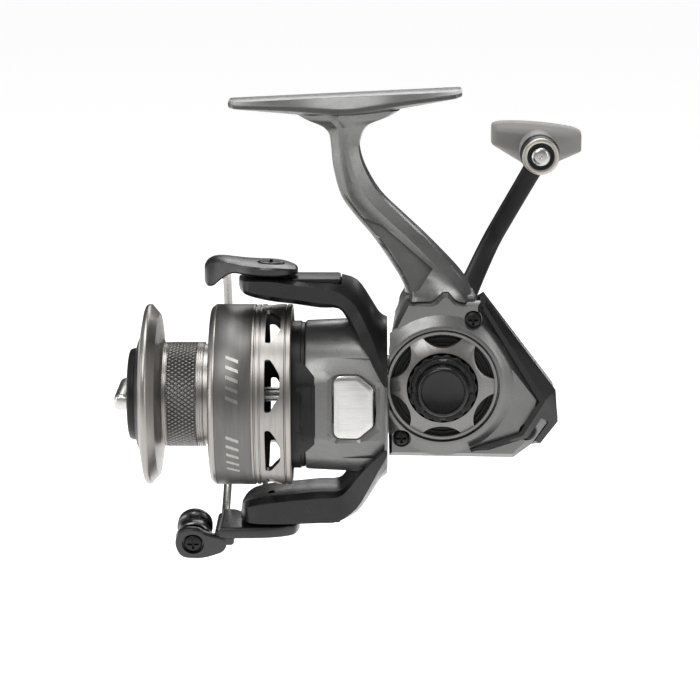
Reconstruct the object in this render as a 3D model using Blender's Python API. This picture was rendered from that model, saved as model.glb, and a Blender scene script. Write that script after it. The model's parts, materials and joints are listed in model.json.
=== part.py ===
"""Spinning reel, 3000 size, as an assembly of separate solids.

Layout frame, in millimetres: X runs to the rear of the reel, Y to the handle side and Z up to the
foot. The spool and rotor turn about X at y = z = 0, and the drive gear turns about Y at x = 0,
z = DRIVE_Z. The origin of the finished part is the centre of the foot's seat.
"""

import math

import bmesh
import bpy
from mathutils import Matrix, Vector

MM = 0.001
FOOT_CENTRE = Vector((-26.3, 0.0, 83.0))
FOOT_TILT = math.radians(2.8)
DRIVE_Z = 6.5
CRANK_AXIS = Vector((0.0, 0.0, DRIVE_Z))
OSC_AXIS = Vector((13.0, 0.0, -1.5))
STROKE = 13.5
BAIL_X = -46.5
BAIL_AXIS = Vector((BAIL_X, 0.0, 0.0))
GAP = 0.3
NEAR = -15.2
FAR = 15.2
SEAM_Y = -11.0
ORIGIN = Vector((0.0, 0.0, 0.0))

FINE = 36
ROUND = 24
SMALL = 12


# ---------------------------------------------------------------- helpers

def paint(name, colour, roughness, metallic):
    material = bpy.data.materials.new(name)
    material.use_nodes = True
    shader = material.node_tree.nodes["Principled BSDF"]
    shader.inputs["Base Color"].default_value = (*colour, 1.0)
    shader.inputs["Roughness"].default_value = roughness
    shader.inputs["Metallic"].default_value = metallic
    material.diffuse_color = (*colour, 1.0)
    return material


def place(axis, along, first, second):
    if axis == "X":
        return Vector((along, first, second))
    if axis == "Y":
        return Vector((first, along, second))
    return Vector((first, second, along))


def bridge(bm, lower, upper):
    if len(lower) == 1 and len(upper) == 1:
        return
    count = max(len(lower), len(upper))
    for k in range(count):
        nxt = (k + 1) % count
        if len(lower) == 1:
            bm.faces.new((lower[0], upper[nxt], upper[k]))
        elif len(upper) == 1:
            bm.faces.new((lower[k], lower[nxt], upper[0]))
        else:
            bm.faces.new((lower[k], lower[nxt], upper[nxt], upper[k]))


def loft(rows, ring=False):
    """Skin through rows of points. Open ends are capped; ring=True joins the last row to the first."""
    bm = bmesh.new()
    made = [[bm.verts.new(point) for point in row] for row in rows]
    for lower, upper in zip(made, made[1:]):
        bridge(bm, lower, upper)
    if ring:
        bridge(bm, made[-1], made[0])
    else:
        for end in (made[0], made[-1]):
            if len(end) > 2:
                bm.faces.new(end)
    bmesh.ops.recalc_face_normals(bm, faces=bm.faces)
    return bm


def lathe(profile, axis="X", centre=ORIGIN, steps=ROUND, ring=False):
    """Solid of revolution through (along, radius) pairs."""
    rows = []
    for along, radius in profile:
        if radius == 0:
            rows.append([centre + place(axis, along, 0, 0)])
            continue
        turn = [2 * math.pi * k / steps for k in range(steps)]
        rows.append([
            centre + place(axis, along, radius * math.cos(a), radius * math.sin(a)) for a in turn
        ])
    return loft(rows, ring)


def disc(low, high, radius, axis="X", centre=ORIGIN, steps=ROUND):
    return lathe([(low, radius), (high, radius)], axis, centre, steps)


def washer(low, high, bore, radius, axis="X", centre=ORIGIN, steps=ROUND):
    profile = [(low, bore), (low, radius), (high, radius), (high, bore)]
    return lathe(profile, axis, centre, steps, ring=True)


def toothed(low, high, bore, root, tip, teeth, axis="X", centre=ORIGIN, first_tooth=0.0):
    """Ring with straight teeth on its outer edge, one of them centred at first_tooth degrees."""
    tooth = [(-0.28, root), (-0.12, tip), (0.12, tip), (0.28, root)]
    spots = [
        (math.radians(first_tooth) + 2 * math.pi * (k + part) / teeth, radius)
        for k in range(teeth) for part, radius in tooth
    ]

    def row(along, inner):
        return [
            centre + place(axis, along, (inner or r) * math.cos(a), (inner or r) * math.sin(a))
            for a, r in spots
        ]

    return loft([row(low, 0), row(high, 0), row(high, bore), row(low, bore)], ring=True)


def prism(outline, low, high, axis="Y", centre=ORIGIN):
    """Straight extrusion; the outline holds the two coordinates left when axis is taken away."""
    rows = [[centre + place(axis, along, a, b) for a, b in outline] for along in (low, high)]
    return loft(rows)


def box(low, high):
    outline = [(low[0], low[2]), (high[0], low[2]), (high[0], high[2]), (low[0], high[2])]
    return prism(outline, low[1], high[1])


def tube(path, radius, steps=SMALL):
    """Round bar along a path."""
    rows = []
    points = [Vector(p) for p in path]
    side = None
    for k, point in enumerate(points):
        before = points[max(k - 1, 0)]
        after = points[min(k + 1, len(points) - 1)]
        tangent = (after - before).normalized()
        guess = side if side is not None else tangent.orthogonal()
        side = (guess - tangent * guess.dot(tangent)).normalized()
        other = tangent.cross(side)
        row = []
        for j in range(steps):
            a = 2 * math.pi * j / steps
            row.append(point + side * radius * math.cos(a) + other * radius * math.sin(a))
        rows.append(row)
    return loft(rows)


def rounded(points, radius, steps=4):
    """Closed outline with each corner cut back by radius and rounded."""
    result = []
    for k, corner in enumerate(points):
        here = Vector(corner)
        before = Vector(points[k - 1])
        after = Vector(points[(k + 1) % len(points)])
        cut_in = min(radius, (before - here).length * 0.45)
        cut_out = min(radius, (after - here).length * 0.45)
        start = here + (before - here).normalized() * cut_in
        end = here + (after - here).normalized() * cut_out
        for j in range(steps + 1):
            t = j / steps
            result.append(tuple(start * (1 - t) ** 2 + here * 2 * t * (1 - t) + end * t * t))
    return result


def smooth(points, steps=4):
    """Catmull-Rom curve through points."""
    result = []
    last = len(points) - 1
    for k in range(last):
        p0, p1 = Vector(points[max(k - 1, 0)]), Vector(points[k])
        p2, p3 = Vector(points[k + 1]), Vector(points[min(k + 2, last)])
        for j in range(steps):
            t = j / steps
            result.append(0.5 * (
                2 * p1 + (p2 - p0) * t + (2 * p0 - 5 * p1 + 4 * p2 - p3) * t * t
                + (3 * p1 - p0 - 3 * p2 + p3) * t ** 3
            ))
    result.append(Vector(points[last]))
    return result


def polar(x, radius, degrees):
    """Point at an angle about the X axis, from straight up towards the near side."""
    a = math.radians(degrees)
    return Vector((x, -radius * math.sin(a), radius * math.cos(a)))


def to_object(name, bm, pivot=ORIGIN):
    for vert in bm.verts:
        vert.co = (vert.co - pivot) * MM
    mesh = bpy.data.meshes.new(name)
    bm.to_mesh(mesh)
    bm.free()
    result = bpy.data.objects.new(name, mesh)
    result.location = (pivot - FOOT_CENTRE) * MM
    bpy.context.collection.objects.link(result)
    return result


def node(name, bm, material, pivot=ORIGIN, ops=(), sharp=35):
    """One named solid. Each op is ("+", solid) to add it or ("-", solid) to take it away, in order."""
    result = to_object(name, bm, pivot)
    result.data.materials.append(material)
    for k, (sign, other) in enumerate(ops):
        tool = to_object(f"{name}.tool{k}", other, pivot)
        tool.hide_render = True
        tool.display_type = "WIRE"
        modifier = result.modifiers.new(f"step_{k}", "BOOLEAN")
        modifier.operation = "UNION" if sign == "+" else "DIFFERENCE"
        modifier.solver = "EXACT"
        modifier.object = tool
    result.data.shade_smooth()
    result.data.set_sharp_from_angle(angle=math.radians(sharp))
    return result


for old in list(bpy.data.objects):
    bpy.data.objects.remove(old, do_unlink=True)

GUNMETAL = paint("gunmetal_paint", (0.16, 0.165, 0.17), 0.38, 0.85)
GLOSS_BLACK = paint("gloss_black", (0.02, 0.02, 0.022), 0.12, 0.0)
SATIN_BLACK = paint("satin_black", (0.03, 0.03, 0.032), 0.4, 0.2)
PEWTER = paint("pewter", (0.55, 0.53, 0.5), 0.28, 1.0)
STEEL = paint("steel", (0.56, 0.56, 0.57), 0.25, 1.0)
BRASS = paint("brass", (0.72, 0.53, 0.25), 0.3, 1.0)
SILVER = paint("badge_silver", (0.8, 0.8, 0.8), 0.2, 1.0)
SOFT_GREY = paint("knob_grey", (0.42, 0.41, 0.4), 0.65, 0.0)
FELT = paint("felt", (0.08, 0.08, 0.07), 0.9, 0.0)


# ---------------------------------------------------------------- carrier

GEARBOX = [
    (-13.2, -14.0), (19.5, -14.3), (24.6, -10.4), (28.6, -4.6), (27.6, 3.0), (10.0, 26.6),
    (8.5, 30.0), (-9.8, 30.3), (-13.2, 24.0),
]
GEARBOX_FAR = [
    (-13.2, -14.0), (19.0, -14.3), (23.6, -10.8), (27.0, -5.4), (26.0, 0.2), (8.8, 22.6),
    (7.2, 26.0), (-8.6, 26.2), (-13.2, 19.6),
]
CAVITY = [
    (-10.8, -12.3), (18.5, -12.5), (22.9, -9.0), (26.5, -4.2), (25.5, 2.4), (7.6, 24.6),
    (-10.8, 24.6),
]
CAVITY_FAR = [
    (-10.8, -12.3), (17.8, -12.4), (22.0, -9.4), (25.0, -4.8), (24.5, 0.3), (7.6, 21.2),
    (-10.8, 18.4),
]
TAPER_Y = 2.0
SCREWS = {"top": (8.2, 24.2), "front": (-10.3, -8.5), "rear": (23.4, -6.6)}
SCREW_BORE = 1.25
POST = 2.5
HEAD = 2.2
LEVER_AXIS = Vector((-9.4, 0.0, 0.0))


def widened(outline, amount):
    """Outline moved inwards by amount, or outwards if it is negative; it runs anticlockwise."""
    result = []
    for k, corner in enumerate(outline):
        here = Vector(corner)
        before = (here - Vector(outline[k - 1])).normalized()
        after = (Vector(outline[(k + 1) % len(outline)]) - here).normalized()
        normal = Vector((-(before.y + after.y), before.x + after.x)).normalized()
        spread = max(normal.dot(Vector((-before.y, before.x))), 0.3)
        result.append(tuple(here + normal * amount / spread))
    return result


def shell_rows(levels):
    """Rows of a gearbox outline, each at a Y level and moved inwards by its own amount."""
    return [
        [Vector((x, y, z)) for x, z in widened(outline, amount)] for y, outline, amount in levels
    ]


def foot():
    """Flat seat on top, thinner towards both rounded ends."""
    stations = [
        # along the foot, half width, depth
        (-31.2, 2.2, 1.2), (-29.5, 5.6, 1.5), (-26.0, 7.6, 1.9), (-20.0, 8.3, 2.6),
        (-12.0, 8.3, 3.4), (-5.0, 8.3, 4.4), (4.0, 8.3, 4.4), (12.0, 8.3, 3.4), (20.0, 8.3, 2.6),
        (26.0, 7.6, 1.9), (29.5, 5.6, 1.5), (31.2, 2.2, 1.2),
    ]
    rows = []
    for along, width, depth in stations:
        section = [
            (-width, 0.0), (width, 0.0), (width, -0.9), (width * 0.55, -depth),
            (-width * 0.55, -depth), (-width, -0.9),
        ]
        rows.append([Vector((along, a, b)) for a, b in section])
    bm = loft(rows)
    spin = Matrix.Rotation(-FOOT_TILT, 4, "Y")
    bmesh.ops.transform(bm, matrix=Matrix.Translation(FOOT_CENTRE) @ spin, verts=bm.verts)
    return bm


def stem():
    """Curved stem; each station is front x, rear x, z at the front, z at the rear, half width."""
    stations = [
        (-9.5, 9.6, 26.5, 25.2, 10.5), (-10.4, 8.5, 30.3, 29.8, 9.6), (-14.4, 1.6, 38.6, 38.6, 7.2),
        (-18.9, -4.6, 45.0, 45.0, 6.2), (-23.4, -10.2, 50.3, 50.3, 5.7),
        (-27.4, -16.4, 56.0, 56.4, 5.4), (-29.4, -20.6, 63.3, 63.3, 5.2),
        (-30.0, -22.3, 69.0, 69.0, 5.2), (-31.2, -21.6, 75.0, 75.3, 5.6),
        (-34.6, -17.8, 79.4, 80.2, 6.4),
    ]
    around = [
        (-1, 0.45), (-0.55, 1), (0.5, 1), (1, 0.5), (1, -0.5), (0.5, -1), (-0.55, -1), (-1, -0.45),
    ]
    rows = []
    for front, rear, low, high, half in stations:
        mid, reach = (front + rear) / 2, (rear - front) / 2
        rows.append([
            Vector((mid + a * reach, b * half, low + (high - low) * (a + 1) / 2)) for a, b in around
        ])
    return loft(rows)


def at_screws(low, high, radius):
    return [
        disc(low, high, radius, "Y", Vector((x, 0, z)), SMALL) for x, z in SCREWS.values()
    ]


def add(solids):
    return [("+", solid) for solid in solids]


def cut(solids):
    return [("-", solid) for solid in solids]


node(
    "body_housing",
    loft(shell_rows([
        (SEAM_Y, GEARBOX, 0), (TAPER_Y, GEARBOX, 0), (FAR - 3.0, GEARBOX_FAR, 0),
        (FAR, GEARBOX_FAR, 2.2),
    ])), GUNMETAL,
    ops=add([
        stem(), foot(), disc(-26.0, -11.5, 10.8),
        disc(FAR - 2.0, FAR + 2.4, 9.5, "Y", CRANK_AXIS),
    ]) + cut([
        loft(shell_rows([
            (SEAM_Y - 1.0, CAVITY, 0), (TAPER_Y, CAVITY, 0), (FAR - 2.0, CAVITY_FAR, 0),
        ])), disc(-26.5, -15.7, 9.0), disc(-16.2, -9.0, 6.0),
        disc(FAR - 2.5, FAR + 3.0, 6.05, "Y", CRANK_AXIS),
        disc(-16.0, -11.0, 1.2, "Z", LEVER_AXIS, SMALL),
    ]) + add(at_screws(SEAM_Y, SEAM_Y + 4.0, POST)) + cut(at_screws(-12.0, -8.0, SCREW_BORE)),
)

plate_boss = lathe(
    [(NEAR - 1.6, 0), (NEAR - 1.6, 17.0), (NEAR + 0.6, 18.4), (NEAR + 1.2, 18.4), (NEAR + 1.2, 0)],
    "Y", CRANK_AXIS, FINE,
)
node(
    "side_plate",
    loft(shell_rows([
        (NEAR, GEARBOX, 1.8), (NEAR + 1.8, GEARBOX, 0), (SEAM_Y - GAP, GEARBOX, 0),
    ])), GUNMETAL,
    ops=add([plate_boss]) + cut([
        prism(CAVITY, NEAR + 2.0, SEAM_Y), disc(NEAR - 2.0, NEAR + 0.2, 15.5, "Y", CRANK_AXIS, FINE),
        disc(NEAR - 2.0, NEAR + 5.0, 6.05, "Y", CRANK_AXIS),
        box((-25.0, -20.0, -20.0), (-13.0, 0.0, 40.0)),
    ]) + add(at_screws(NEAR + 1.0, SEAM_Y - GAP - 0.1, POST))
    + cut(at_screws(NEAR - 2.0, NEAR + 1.5, HEAD + 0.25)) + cut(at_screws(-16.0, -11.0, SCREW_BORE)),
)

for label, (x, z) in SCREWS.items():
    node(
        f"side_plate_screw_{label}",
        lathe([(NEAR + 0.1, 0), (NEAR + 0.1, HEAD - 0.3), (NEAR + 0.4, HEAD), (NEAR + 1.3, HEAD),
               (NEAR + 1.3, 1.05), (-8.2, 1.05), (-8.2, 0)], "Y", Vector((x, 0, z)), SMALL),
        SATIN_BLACK,
        ops=cut([
            box((x - 1.4, NEAR - 1, z - 0.3), (x + 1.4, NEAR + 0.8, z + 0.3)),
            box((x - 0.3, NEAR - 1, z - 1.4), (x + 0.3, NEAR + 0.8, z + 1.4)),
        ]),
    )

COVER_IN = [(10.6, 27.6), (26.2, 2.2), (20.9, -6.8), (7.6, -11.2)]
COVER_IN_FAR = [(9.4, 23.0), (25.0, -0.4), (20.2, -7.4), (7.6, -11.2)]
COVER_EDGE = [(8.0, -11.9), (21.9, -7.3), (27.4, 1.7), (27.7, 2.7), (11.2, 28.7)]
COVER_MIDDLE = [(8.2, -12.2), (27.7, -11.6), (32.3, -5.3), (31.0, 2.9), (11.6, 28.4)]
COVER_SHOULDER = [(8.2, -12.2), (27.0, -10.8), (31.6, -4.7), (30.9, 4.2), (11.6, 29.6)]
COVER_SHOULDER_FAR = [(8.2, -12.2), (26.2, -11.2), (30.6, -6.0), (29.6, 0.6), (10.4, 25.6)]
COVER_EDGE_FAR = [(8.0, -11.9), (21.2, -8.2), (26.6, -1.2), (26.6, 0.0), (9.8, 23.8)]
COVER_Y, SHOULDER_Y, MIDDLE_Y = 16.9, 11.5, 3.0
cover_space = loft(shell_rows([
    (NEAR - GAP, GEARBOX, 1.5), (NEAR + 1.5, GEARBOX, -GAP), (TAPER_Y, GEARBOX, -GAP),
    (FAR - 3.0, GEARBOX_FAR, -GAP), (FAR - 1.5, GEARBOX_FAR, 0.8), (FAR + GAP, GEARBOX_FAR, 2.1),
]))
cover_body = loft([
    [Vector((x, y, z)) for x, z in inner + outer] for y, inner, outer in (
        (-COVER_Y, COVER_IN, COVER_EDGE), (-SHOULDER_Y, COVER_IN, COVER_SHOULDER),
        (-MIDDLE_Y, COVER_IN, COVER_MIDDLE), (MIDDLE_Y, COVER_IN, COVER_MIDDLE),
        (SHOULDER_Y, COVER_IN_FAR, COVER_SHOULDER_FAR), (COVER_Y, COVER_IN_FAR, COVER_EDGE_FAR),
    )
])
COVER_SCREW = Vector((23.6, 0.0, -4.4))
node(
    "rear_cover", cover_body, GLOSS_BLACK,
    ops=cut([cover_space, disc(FAR - 1, COVER_Y + 1, 1.3, "Y", COVER_SCREW, SMALL)]),
)
node(
    "rear_cover_screw",
    lathe([(COVER_Y + 1.4, 0), (COVER_Y + 1.4, 1.9), (COVER_Y + 0.3, 2.2), (COVER_Y + 0.3, 1.0),
           (FAR + 0.5, 1.0), (FAR + 0.5, 0)], "Y", COVER_SCREW, SMALL),
    SATIN_BLACK,
)

RING_FLOOR = NEAR + 0.2
ring = lathe(
    [(RING_FLOOR - GAP, 9.9), (RING_FLOOR - GAP, 15.2), (NEAR - 0.9, 15.2), (NEAR - 1.2, 14.8),
     (NEAR - 3.8, 9.9)], "Y", CRANK_AXIS, FINE, ring=True,
)
scallops = [
    disc(NEAR - 4.0, RING_FLOOR - 0.9, 4.6, "Y",
         CRANK_AXIS + Vector((16.6 * math.cos(a), 0, 16.6 * math.sin(a))), SMALL)
    for a in (math.radians(90 + 60 * k) for k in range(6))
]
node("side_trim_ring", ring, GUNMETAL, ops=cut(scallops))
cap = toothed(NEAR - 4.8, RING_FLOOR - GAP, 5.9, 8.9, 9.3, 18, "Y", CRANK_AXIS)
cap_middle = lathe(
    [(NEAR - 9.0, 0), (NEAR - 9.3, 5.9), (NEAR - 9.0, 6.4), (NEAR - 8.6, 6.8), (NEAR - 4.9, 7.4),
     (NEAR - 4.0, 7.4), (NEAR - 2.0, 6.4), (NEAR - 2.0, 0)], "Y", CRANK_AXIS, FINE,
)
node("side_cap", cap, SATIN_BLACK, ops=add([cap_middle]))

node("drive_bearing_near", washer(-14.9, -11.6, 3.5, 5.95, "Y", CRANK_AXIS), STEEL)
node("drive_bearing_far", washer(13.5, 17.0, 3.5, 5.95, "Y", CRANK_AXIS), STEEL)
node("pinion_bearing", washer(-15.3, -11.4, 3.15, 5.85), STEEL)
node("clutch_housing", washer(-25.4, -16.1, 5.3, 8.85), STEEL)
node("clutch_retainer", washer(-27.5, -26.3, 5.4, 10.4), BRASS)
GUIDE = Vector((0.0, -0.6, -9.4))
node("guide_rod", disc(-10.5, 20.8, 0.9, "X", GUIDE, SMALL), STEEL)

# ---------------------------------------------------------------- anti-reverse lever

lever_plan = rounded([(-11.6, -1.8), (-5.0, -1.3), (-3.4, 0.0), (-5.0, 1.3), (-11.6, 1.8)], 1.2)
node(
    "anti_reverse_lever",
    prism(lever_plan, -15.9, -14.6, "Z"), PEWTER, LEVER_AXIS,
    ops=add([
        disc(-15.2, -12.6, 0.9, "Z", LEVER_AXIS, SMALL),
        box((-5.8, -1.0, -16.9), (-3.9, 1.0, -15.4)),
    ]),
)

# ---------------------------------------------------------------- crank

GEAR_TEETH, PINION_TEETH = 37, 6
GEAR_R, GEAR_INNER = 10.4, 7.4


def crown_gear():
    """Face gear: a disc about Y with teeth on its far face."""
    count = 2 * GEAR_TEETH

    def row(along, radius, lift=0.0):
        return [
            CRANK_AXIS + place(
                "Y", along + lift * (k % 2), radius * math.cos(2 * math.pi * k / count),
                radius * math.sin(2 * math.pi * k / count),
            ) for k in range(count)
        ]

    return loft([
        row(-7.6, 3.6), row(-7.6, GEAR_R), row(-4.7, GEAR_R, 1.0), row(-4.7, GEAR_INNER, 1.0),
        row(-5.2, GEAR_INNER - 0.4), row(-5.2, 3.6),
    ], ring=True)


node("drive_gear", crown_gear(), BRASS, CRANK_AXIS)
MESH_ANGLE = math.degrees(math.atan2(OSC_AXIS.z - DRIVE_Z, OSC_AXIS.x))
node(
    "oscillation_pinion", toothed(8.6, 11.3, 3.6, 4.7, 6.25, 14, "Y", CRANK_AXIS, MESH_ANGLE), BRASS,
    CRANK_AXIS,
)
node(
    "drive_shaft",
    lathe([(-14.7, 0), (-14.7, 3.0), (-14.3, 3.4), (22.0, 3.4), (22.0, 0)], "Y", CRANK_AXIS), STEEL,
    CRANK_AXIS,
)

HUB_IN, HUB_OUT = FAR + 2.9, 27.5
KNOB_AXIS = Vector((29.7, 0.0, 59.1))
ARM_Y, ARM_T = 48.6, 3.4
arm_dir = (KNOB_AXIS - CRANK_AXIS).normalized()
arm_len = (KNOB_AXIS - CRANK_AXIS).length
ARM_STATIONS = [
    # distance along the arm, middle y, half width, half thickness
    (0.0, 24.0, 4.6, 3.2), (5.0, 25.6, 4.2, 3.0), (12.0, 31.5, 3.5, 2.4), (20.0, 38.6, 3.0, 2.0),
    (27.0, 44.6, 2.8, 1.8), (32.5, 47.9, 2.7, 1.7), (38.0, ARM_Y, 2.7, 1.7), (55.0, ARM_Y, 2.8, 1.7),
    (arm_len, ARM_Y, 3.4, 1.8),
]
arm_side = Vector((arm_dir.z, 0, -arm_dir.x))
arm_rows = []
for along, y, half, thick in ARM_STATIONS:
    middle = CRANK_AXIS + arm_dir * along + Vector((0, y, 0))
    corners = [(-1, -0.6), (-0.6, -1), (0.6, -1), (1, -0.6), (1, 0.6), (0.6, 1), (-0.6, 1), (-1, 0.6)]
    arm_rows.append([
        middle + arm_side * a * half + Vector((0, b * thick, 0)) for a, b in corners
    ])
node(
    "handle_hub",
    lathe([(HUB_IN, 3.6), (HUB_IN, 6.6), (HUB_IN + 1.2, 7.2), (20.4, 7.0), (20.4, 3.6)], "Y",
          CRANK_AXIS, ring=True), SATIN_BLACK, CRANK_AXIS,
)
node(
    "handle_arm", loft(arm_rows), SATIN_BLACK, CRANK_AXIS,
    ops=add([
        disc(20.7, 28.0, 6.2, "Y", CRANK_AXIS), disc(ARM_Y - 2.2, ARM_Y + 2.4, 5.5, "Y", KNOB_AXIS),
    ]) + cut([
        disc(19.0, 22.6, 3.6, "Y", CRANK_AXIS), disc(ARM_Y - 3, ARM_Y + 3, 2.1, "Y", KNOB_AXIS),
    ]),
)
node(
    "knob_pin",
    lathe([(ARM_Y - 2.9, 0), (ARM_Y - 3.1, 2.2), (ARM_Y - 2.5, 2.6), (ARM_Y - 2.4, 2.0),
           (72.5, 2.0), (72.5, 0)], "Y", KNOB_AXIS, SMALL), STEEL, KNOB_AXIS,
)
node(
    "knob_boss_ring", washer(ARM_Y + 2.6, ARM_Y + 4.2, 2.2, 4.4, "Y", KNOB_AXIS), SATIN_BLACK,
    KNOB_AXIS,
)

# ---------------------------------------------------------------- knob

KNOB_IN, KNOB_BAR = ARM_Y + 4.5, 70.0
knob_neck = lathe(
    [(KNOB_IN, 2.3), (KNOB_IN, 5.6), (KNOB_IN + 4, 5.0), (64.0, 5.2), (72.8, 5.4), (72.8, 2.3)],
    "Y", KNOB_AXIS, ring=True,
)
BAR_TILT, BAR_CREASE = math.tan(math.radians(4.7)), 4.0
BAR_STATIONS = [
    # along the bar, half width, top, bottom
    (-13.3, 3.6, 5.0, -0.2), (-12.6, 4.6, 5.6, -1.0), (-9.0, 5.8, 6.3, -3.0), (-4.5, 6.3, 6.7, -5.4),
    (0.0, 6.4, 6.8, -7.6), (4.5, 6.3, 6.7, -5.4), (9.0, 5.8, 6.3, -3.0), (12.6, 4.6, 5.6, -1.0),
    (13.3, 3.6, 5.0, -0.2),
]
bar_rows = []
for along, width, top, bottom in BAR_STATIONS:
    section = [
        (-1.0, BAR_CREASE), (-0.7, top - 0.6), (0.0, top), (0.7, top - 0.6), (1.0, BAR_CREASE),
        (0.75, bottom * 0.6), (0.4, bottom), (-0.4, bottom), (-0.75, bottom * 0.6),
    ]
    bar_rows.append([
        KNOB_AXIS + Vector((along, KNOB_BAR + a * width, b - along * BAR_TILT)) for a, b in section
    ])
node(
    "handle_knob", loft(bar_rows), SOFT_GREY, KNOB_AXIS,
    ops=add([knob_neck]) + cut([disc(KNOB_IN - 1, 73.5, 2.3, "Y", KNOB_AXIS, SMALL),
                                disc(73.4, 80.0, 3.4, "Y", KNOB_AXIS, SMALL)]),
)
node("knob_end_cap", disc(74.0, 75.6, 3.1, "Y", KNOB_AXIS, SMALL), SATIN_BLACK, KNOB_AXIS)

# ---------------------------------------------------------------- oscillation

CRANK_PIN = OSC_AXIS + Vector((-STROKE / 2, 0, 0))
node(
    "oscillation_gear",
    toothed(8.6, 11.3, 2.0, 8.7, 10.25, 24, "Y", OSC_AXIS, MESH_ANGLE + 180 + 7.5), BRASS, OSC_AXIS,
    ops=add([
        disc(9.0, 13.0, 2.4, "Y", OSC_AXIS, SMALL), disc(6.1, 9.0, 1.5, "Y", CRANK_PIN, SMALL),
    ]),
)
SHAFT_R = 2.0
node(
    "main_shaft",
    lathe([(-84.5, 0), (-84.5, 1.7), (-84.0, SHAFT_R), (7.6, SHAFT_R), (7.6, 0)], "X", steps=24),
    STEEL,
)
slider_x = CRANK_PIN.x
node(
    "oscillation_slider",
    box((slider_x - 2.6, 2.4, -10.9), (slider_x + 2.6, 5.8, 7.4)), STEEL,
    ops=add([box((slider_x - 2.3, -3.0, -11.3), (slider_x + 2.3, 2.8, 2.9))]) + cut([
        disc(-5, 20, SHAFT_R + 0.15), disc(-5, 20, 1.15, "X", GUIDE, SMALL),
        box((slider_x - 1.7, 3.3, -10.1), (slider_x + 1.7, 6.5, 7.0)),
        prism([(slider_x - 1.6, -12.0), (slider_x + 3.2, -12.0), (slider_x + 3.2, -7.6),
               (slider_x + 1.6, -9.9)], -4.0, 7.0),
        prism([(slider_x, 7.6), (slider_x + 2.6, 4.2), (slider_x + 3.2, 4.2), (slider_x + 3.2, 7.6)],
              2.0, 7.0),
    ]),
)

# ---------------------------------------------------------------- rotor

node(
    "pinion",
    washer(-39.4, -3.9, 2.3, 2.95, steps=24), BRASS,
    ops=add([toothed(-8.4, -3.95, 2.6, 2.85, 3.35, PINION_TEETH)]),
)
node("clutch_sleeve", washer(-25.6, -16.3, 3.15, 5.0), STEEL)

CUP = [
    (-37.2, 20.2), (-36.9, 20.5), (-14.9, 21.5), (-14.6, 21.2), (-14.6, 19.6), (-32.5, 18.9),
    (-34.6, 17.0), (-34.6, 6.0), (-28.2, 6.0), (-28.2, 3.15), (-37.2, 3.15),
]
ARM_HALF = 8.3
UPPER = [
    (-55.2, 31.2), (-53.4, 29.6), (-50.0, 28.6), (-40.0, 27.0), (-27.4, 25.6), (-18.6, 18.5),
    (-16.0, 18.5), (-14.9, 21.0), (-24.4, 34.0), (-54.8, 34.0),
]
LOWER = [
    (-55.2, -29.0), (-53.0, -26.8), (-48.0, -25.9), (-27.4, -25.7), (-18.6, -18.5),
    (-16.0, -18.5), (-14.9, -21.0), (-24.4, -35.7), (-54.6, -35.7),
]


def saddle(end_near, flip):
    """Legs that carry an arm round to the sides of the cup; flip = -1 builds the lower one."""
    stations = [
        # share of the way round, front x, rear x, inner radius, outer radius
        (-1.0, -17.0, -14.9, 20.4, 22.0), (-0.75, -20.2, -15.0, 20.4, 24.2),
        (-0.4, -24.2, -15.6, 21.0, 29.8), (0.0, -26.9, -16.2, 21.5, 32.6),
        (0.4, -24.2, -15.6, 21.0, 29.8), (0.75, -20.2, -15.0, 20.4, 24.2),
        (1.0, -17.0, -14.9, 20.4, 22.0),
    ]
    rows = []
    for share, front, rear, inner, outer in stations:
        a = share * end_near
        rise = rear - (outer - inner) * 0.62
        row = [polar(front, min(inner + 4.6, outer), a), polar(front + 2.0, inner, a),
               polar(rear, inner, a), polar(rear, inner + 1.0, a), polar(min(rise, rear), outer, a)]
        rows.append([Vector((p.x, p.y, p.z * flip)) for p in row])
    return loft(rows)


def arm_cuts(flip, floor):
    """Rounded nose, pocket that opens outwards from its floor, and pivot hole."""
    nose = loft([
        [Vector((x, y, z * flip)) for x, y in (
            (-60.0, -12.0), (-50.5, -12.0), (-50.5, -8.31), (-53.3, -6.6), (-55.0, -3.4),
            (-55.3, 0.0), (-55.0, 3.4), (-53.3, 6.6), (-50.5, 8.31), (-50.5, 12.0), (-60.0, 12.0),
        )] for z in (24.0, 37.0)
    ])
    low, high = sorted((floor * flip, 37.0 * flip))
    pocket = box((-41.2, -5.4, low), (-27.2, 5.4, high))
    low, high = sorted((28.7 * flip, 37.0 * flip))
    hole = disc(low, high, 1.45, "Z", BAIL_AXIS, SMALL)
    return [nose, pocket, hole]


badge_pocket = box((-30.6, -30.0, -10.6), (-15.9, -19.7, 6.8))
node(
    "rotor", lathe(CUP, "X", steps=FINE, ring=True), GUNMETAL,
    ops=add([
        saddle(70, 1), saddle(56, -1), prism(UPPER, -ARM_HALF, ARM_HALF),
        prism(LOWER, -ARM_HALF, ARM_HALF),
    ]) + cut(arm_cuts(1, 28.5) + arm_cuts(-1, 29.6) + [
        lathe([(-36.0, 0), (-36.0, 1), (-34.6, 16.9), (-32.5, 18.8), (-14.0, 19.55), (-14.0, 0)],
              "X", steps=FINE),
    ]) + add([washer(-36.5, -28.2, 3.15, 6.0)]) + cut([badge_pocket]),
)
node(
    "rotor_front_ring",
    lathe([(-41.6, 8.0), (-41.6, 19.9), (-41.3, 20.3), (-37.5, 20.3), (-37.5, 8.0)], "X",
          steps=FINE, ring=True), SATIN_BLACK,
)
node("rotor_nut", toothed(-41.6, -37.5, 3.1, 5.9, 6.0, 6), BRASS)
node("badge_plate", box((-30.2, -21.2, -10.2), (-16.3, -20.0, 6.4)), SILVER)

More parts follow.
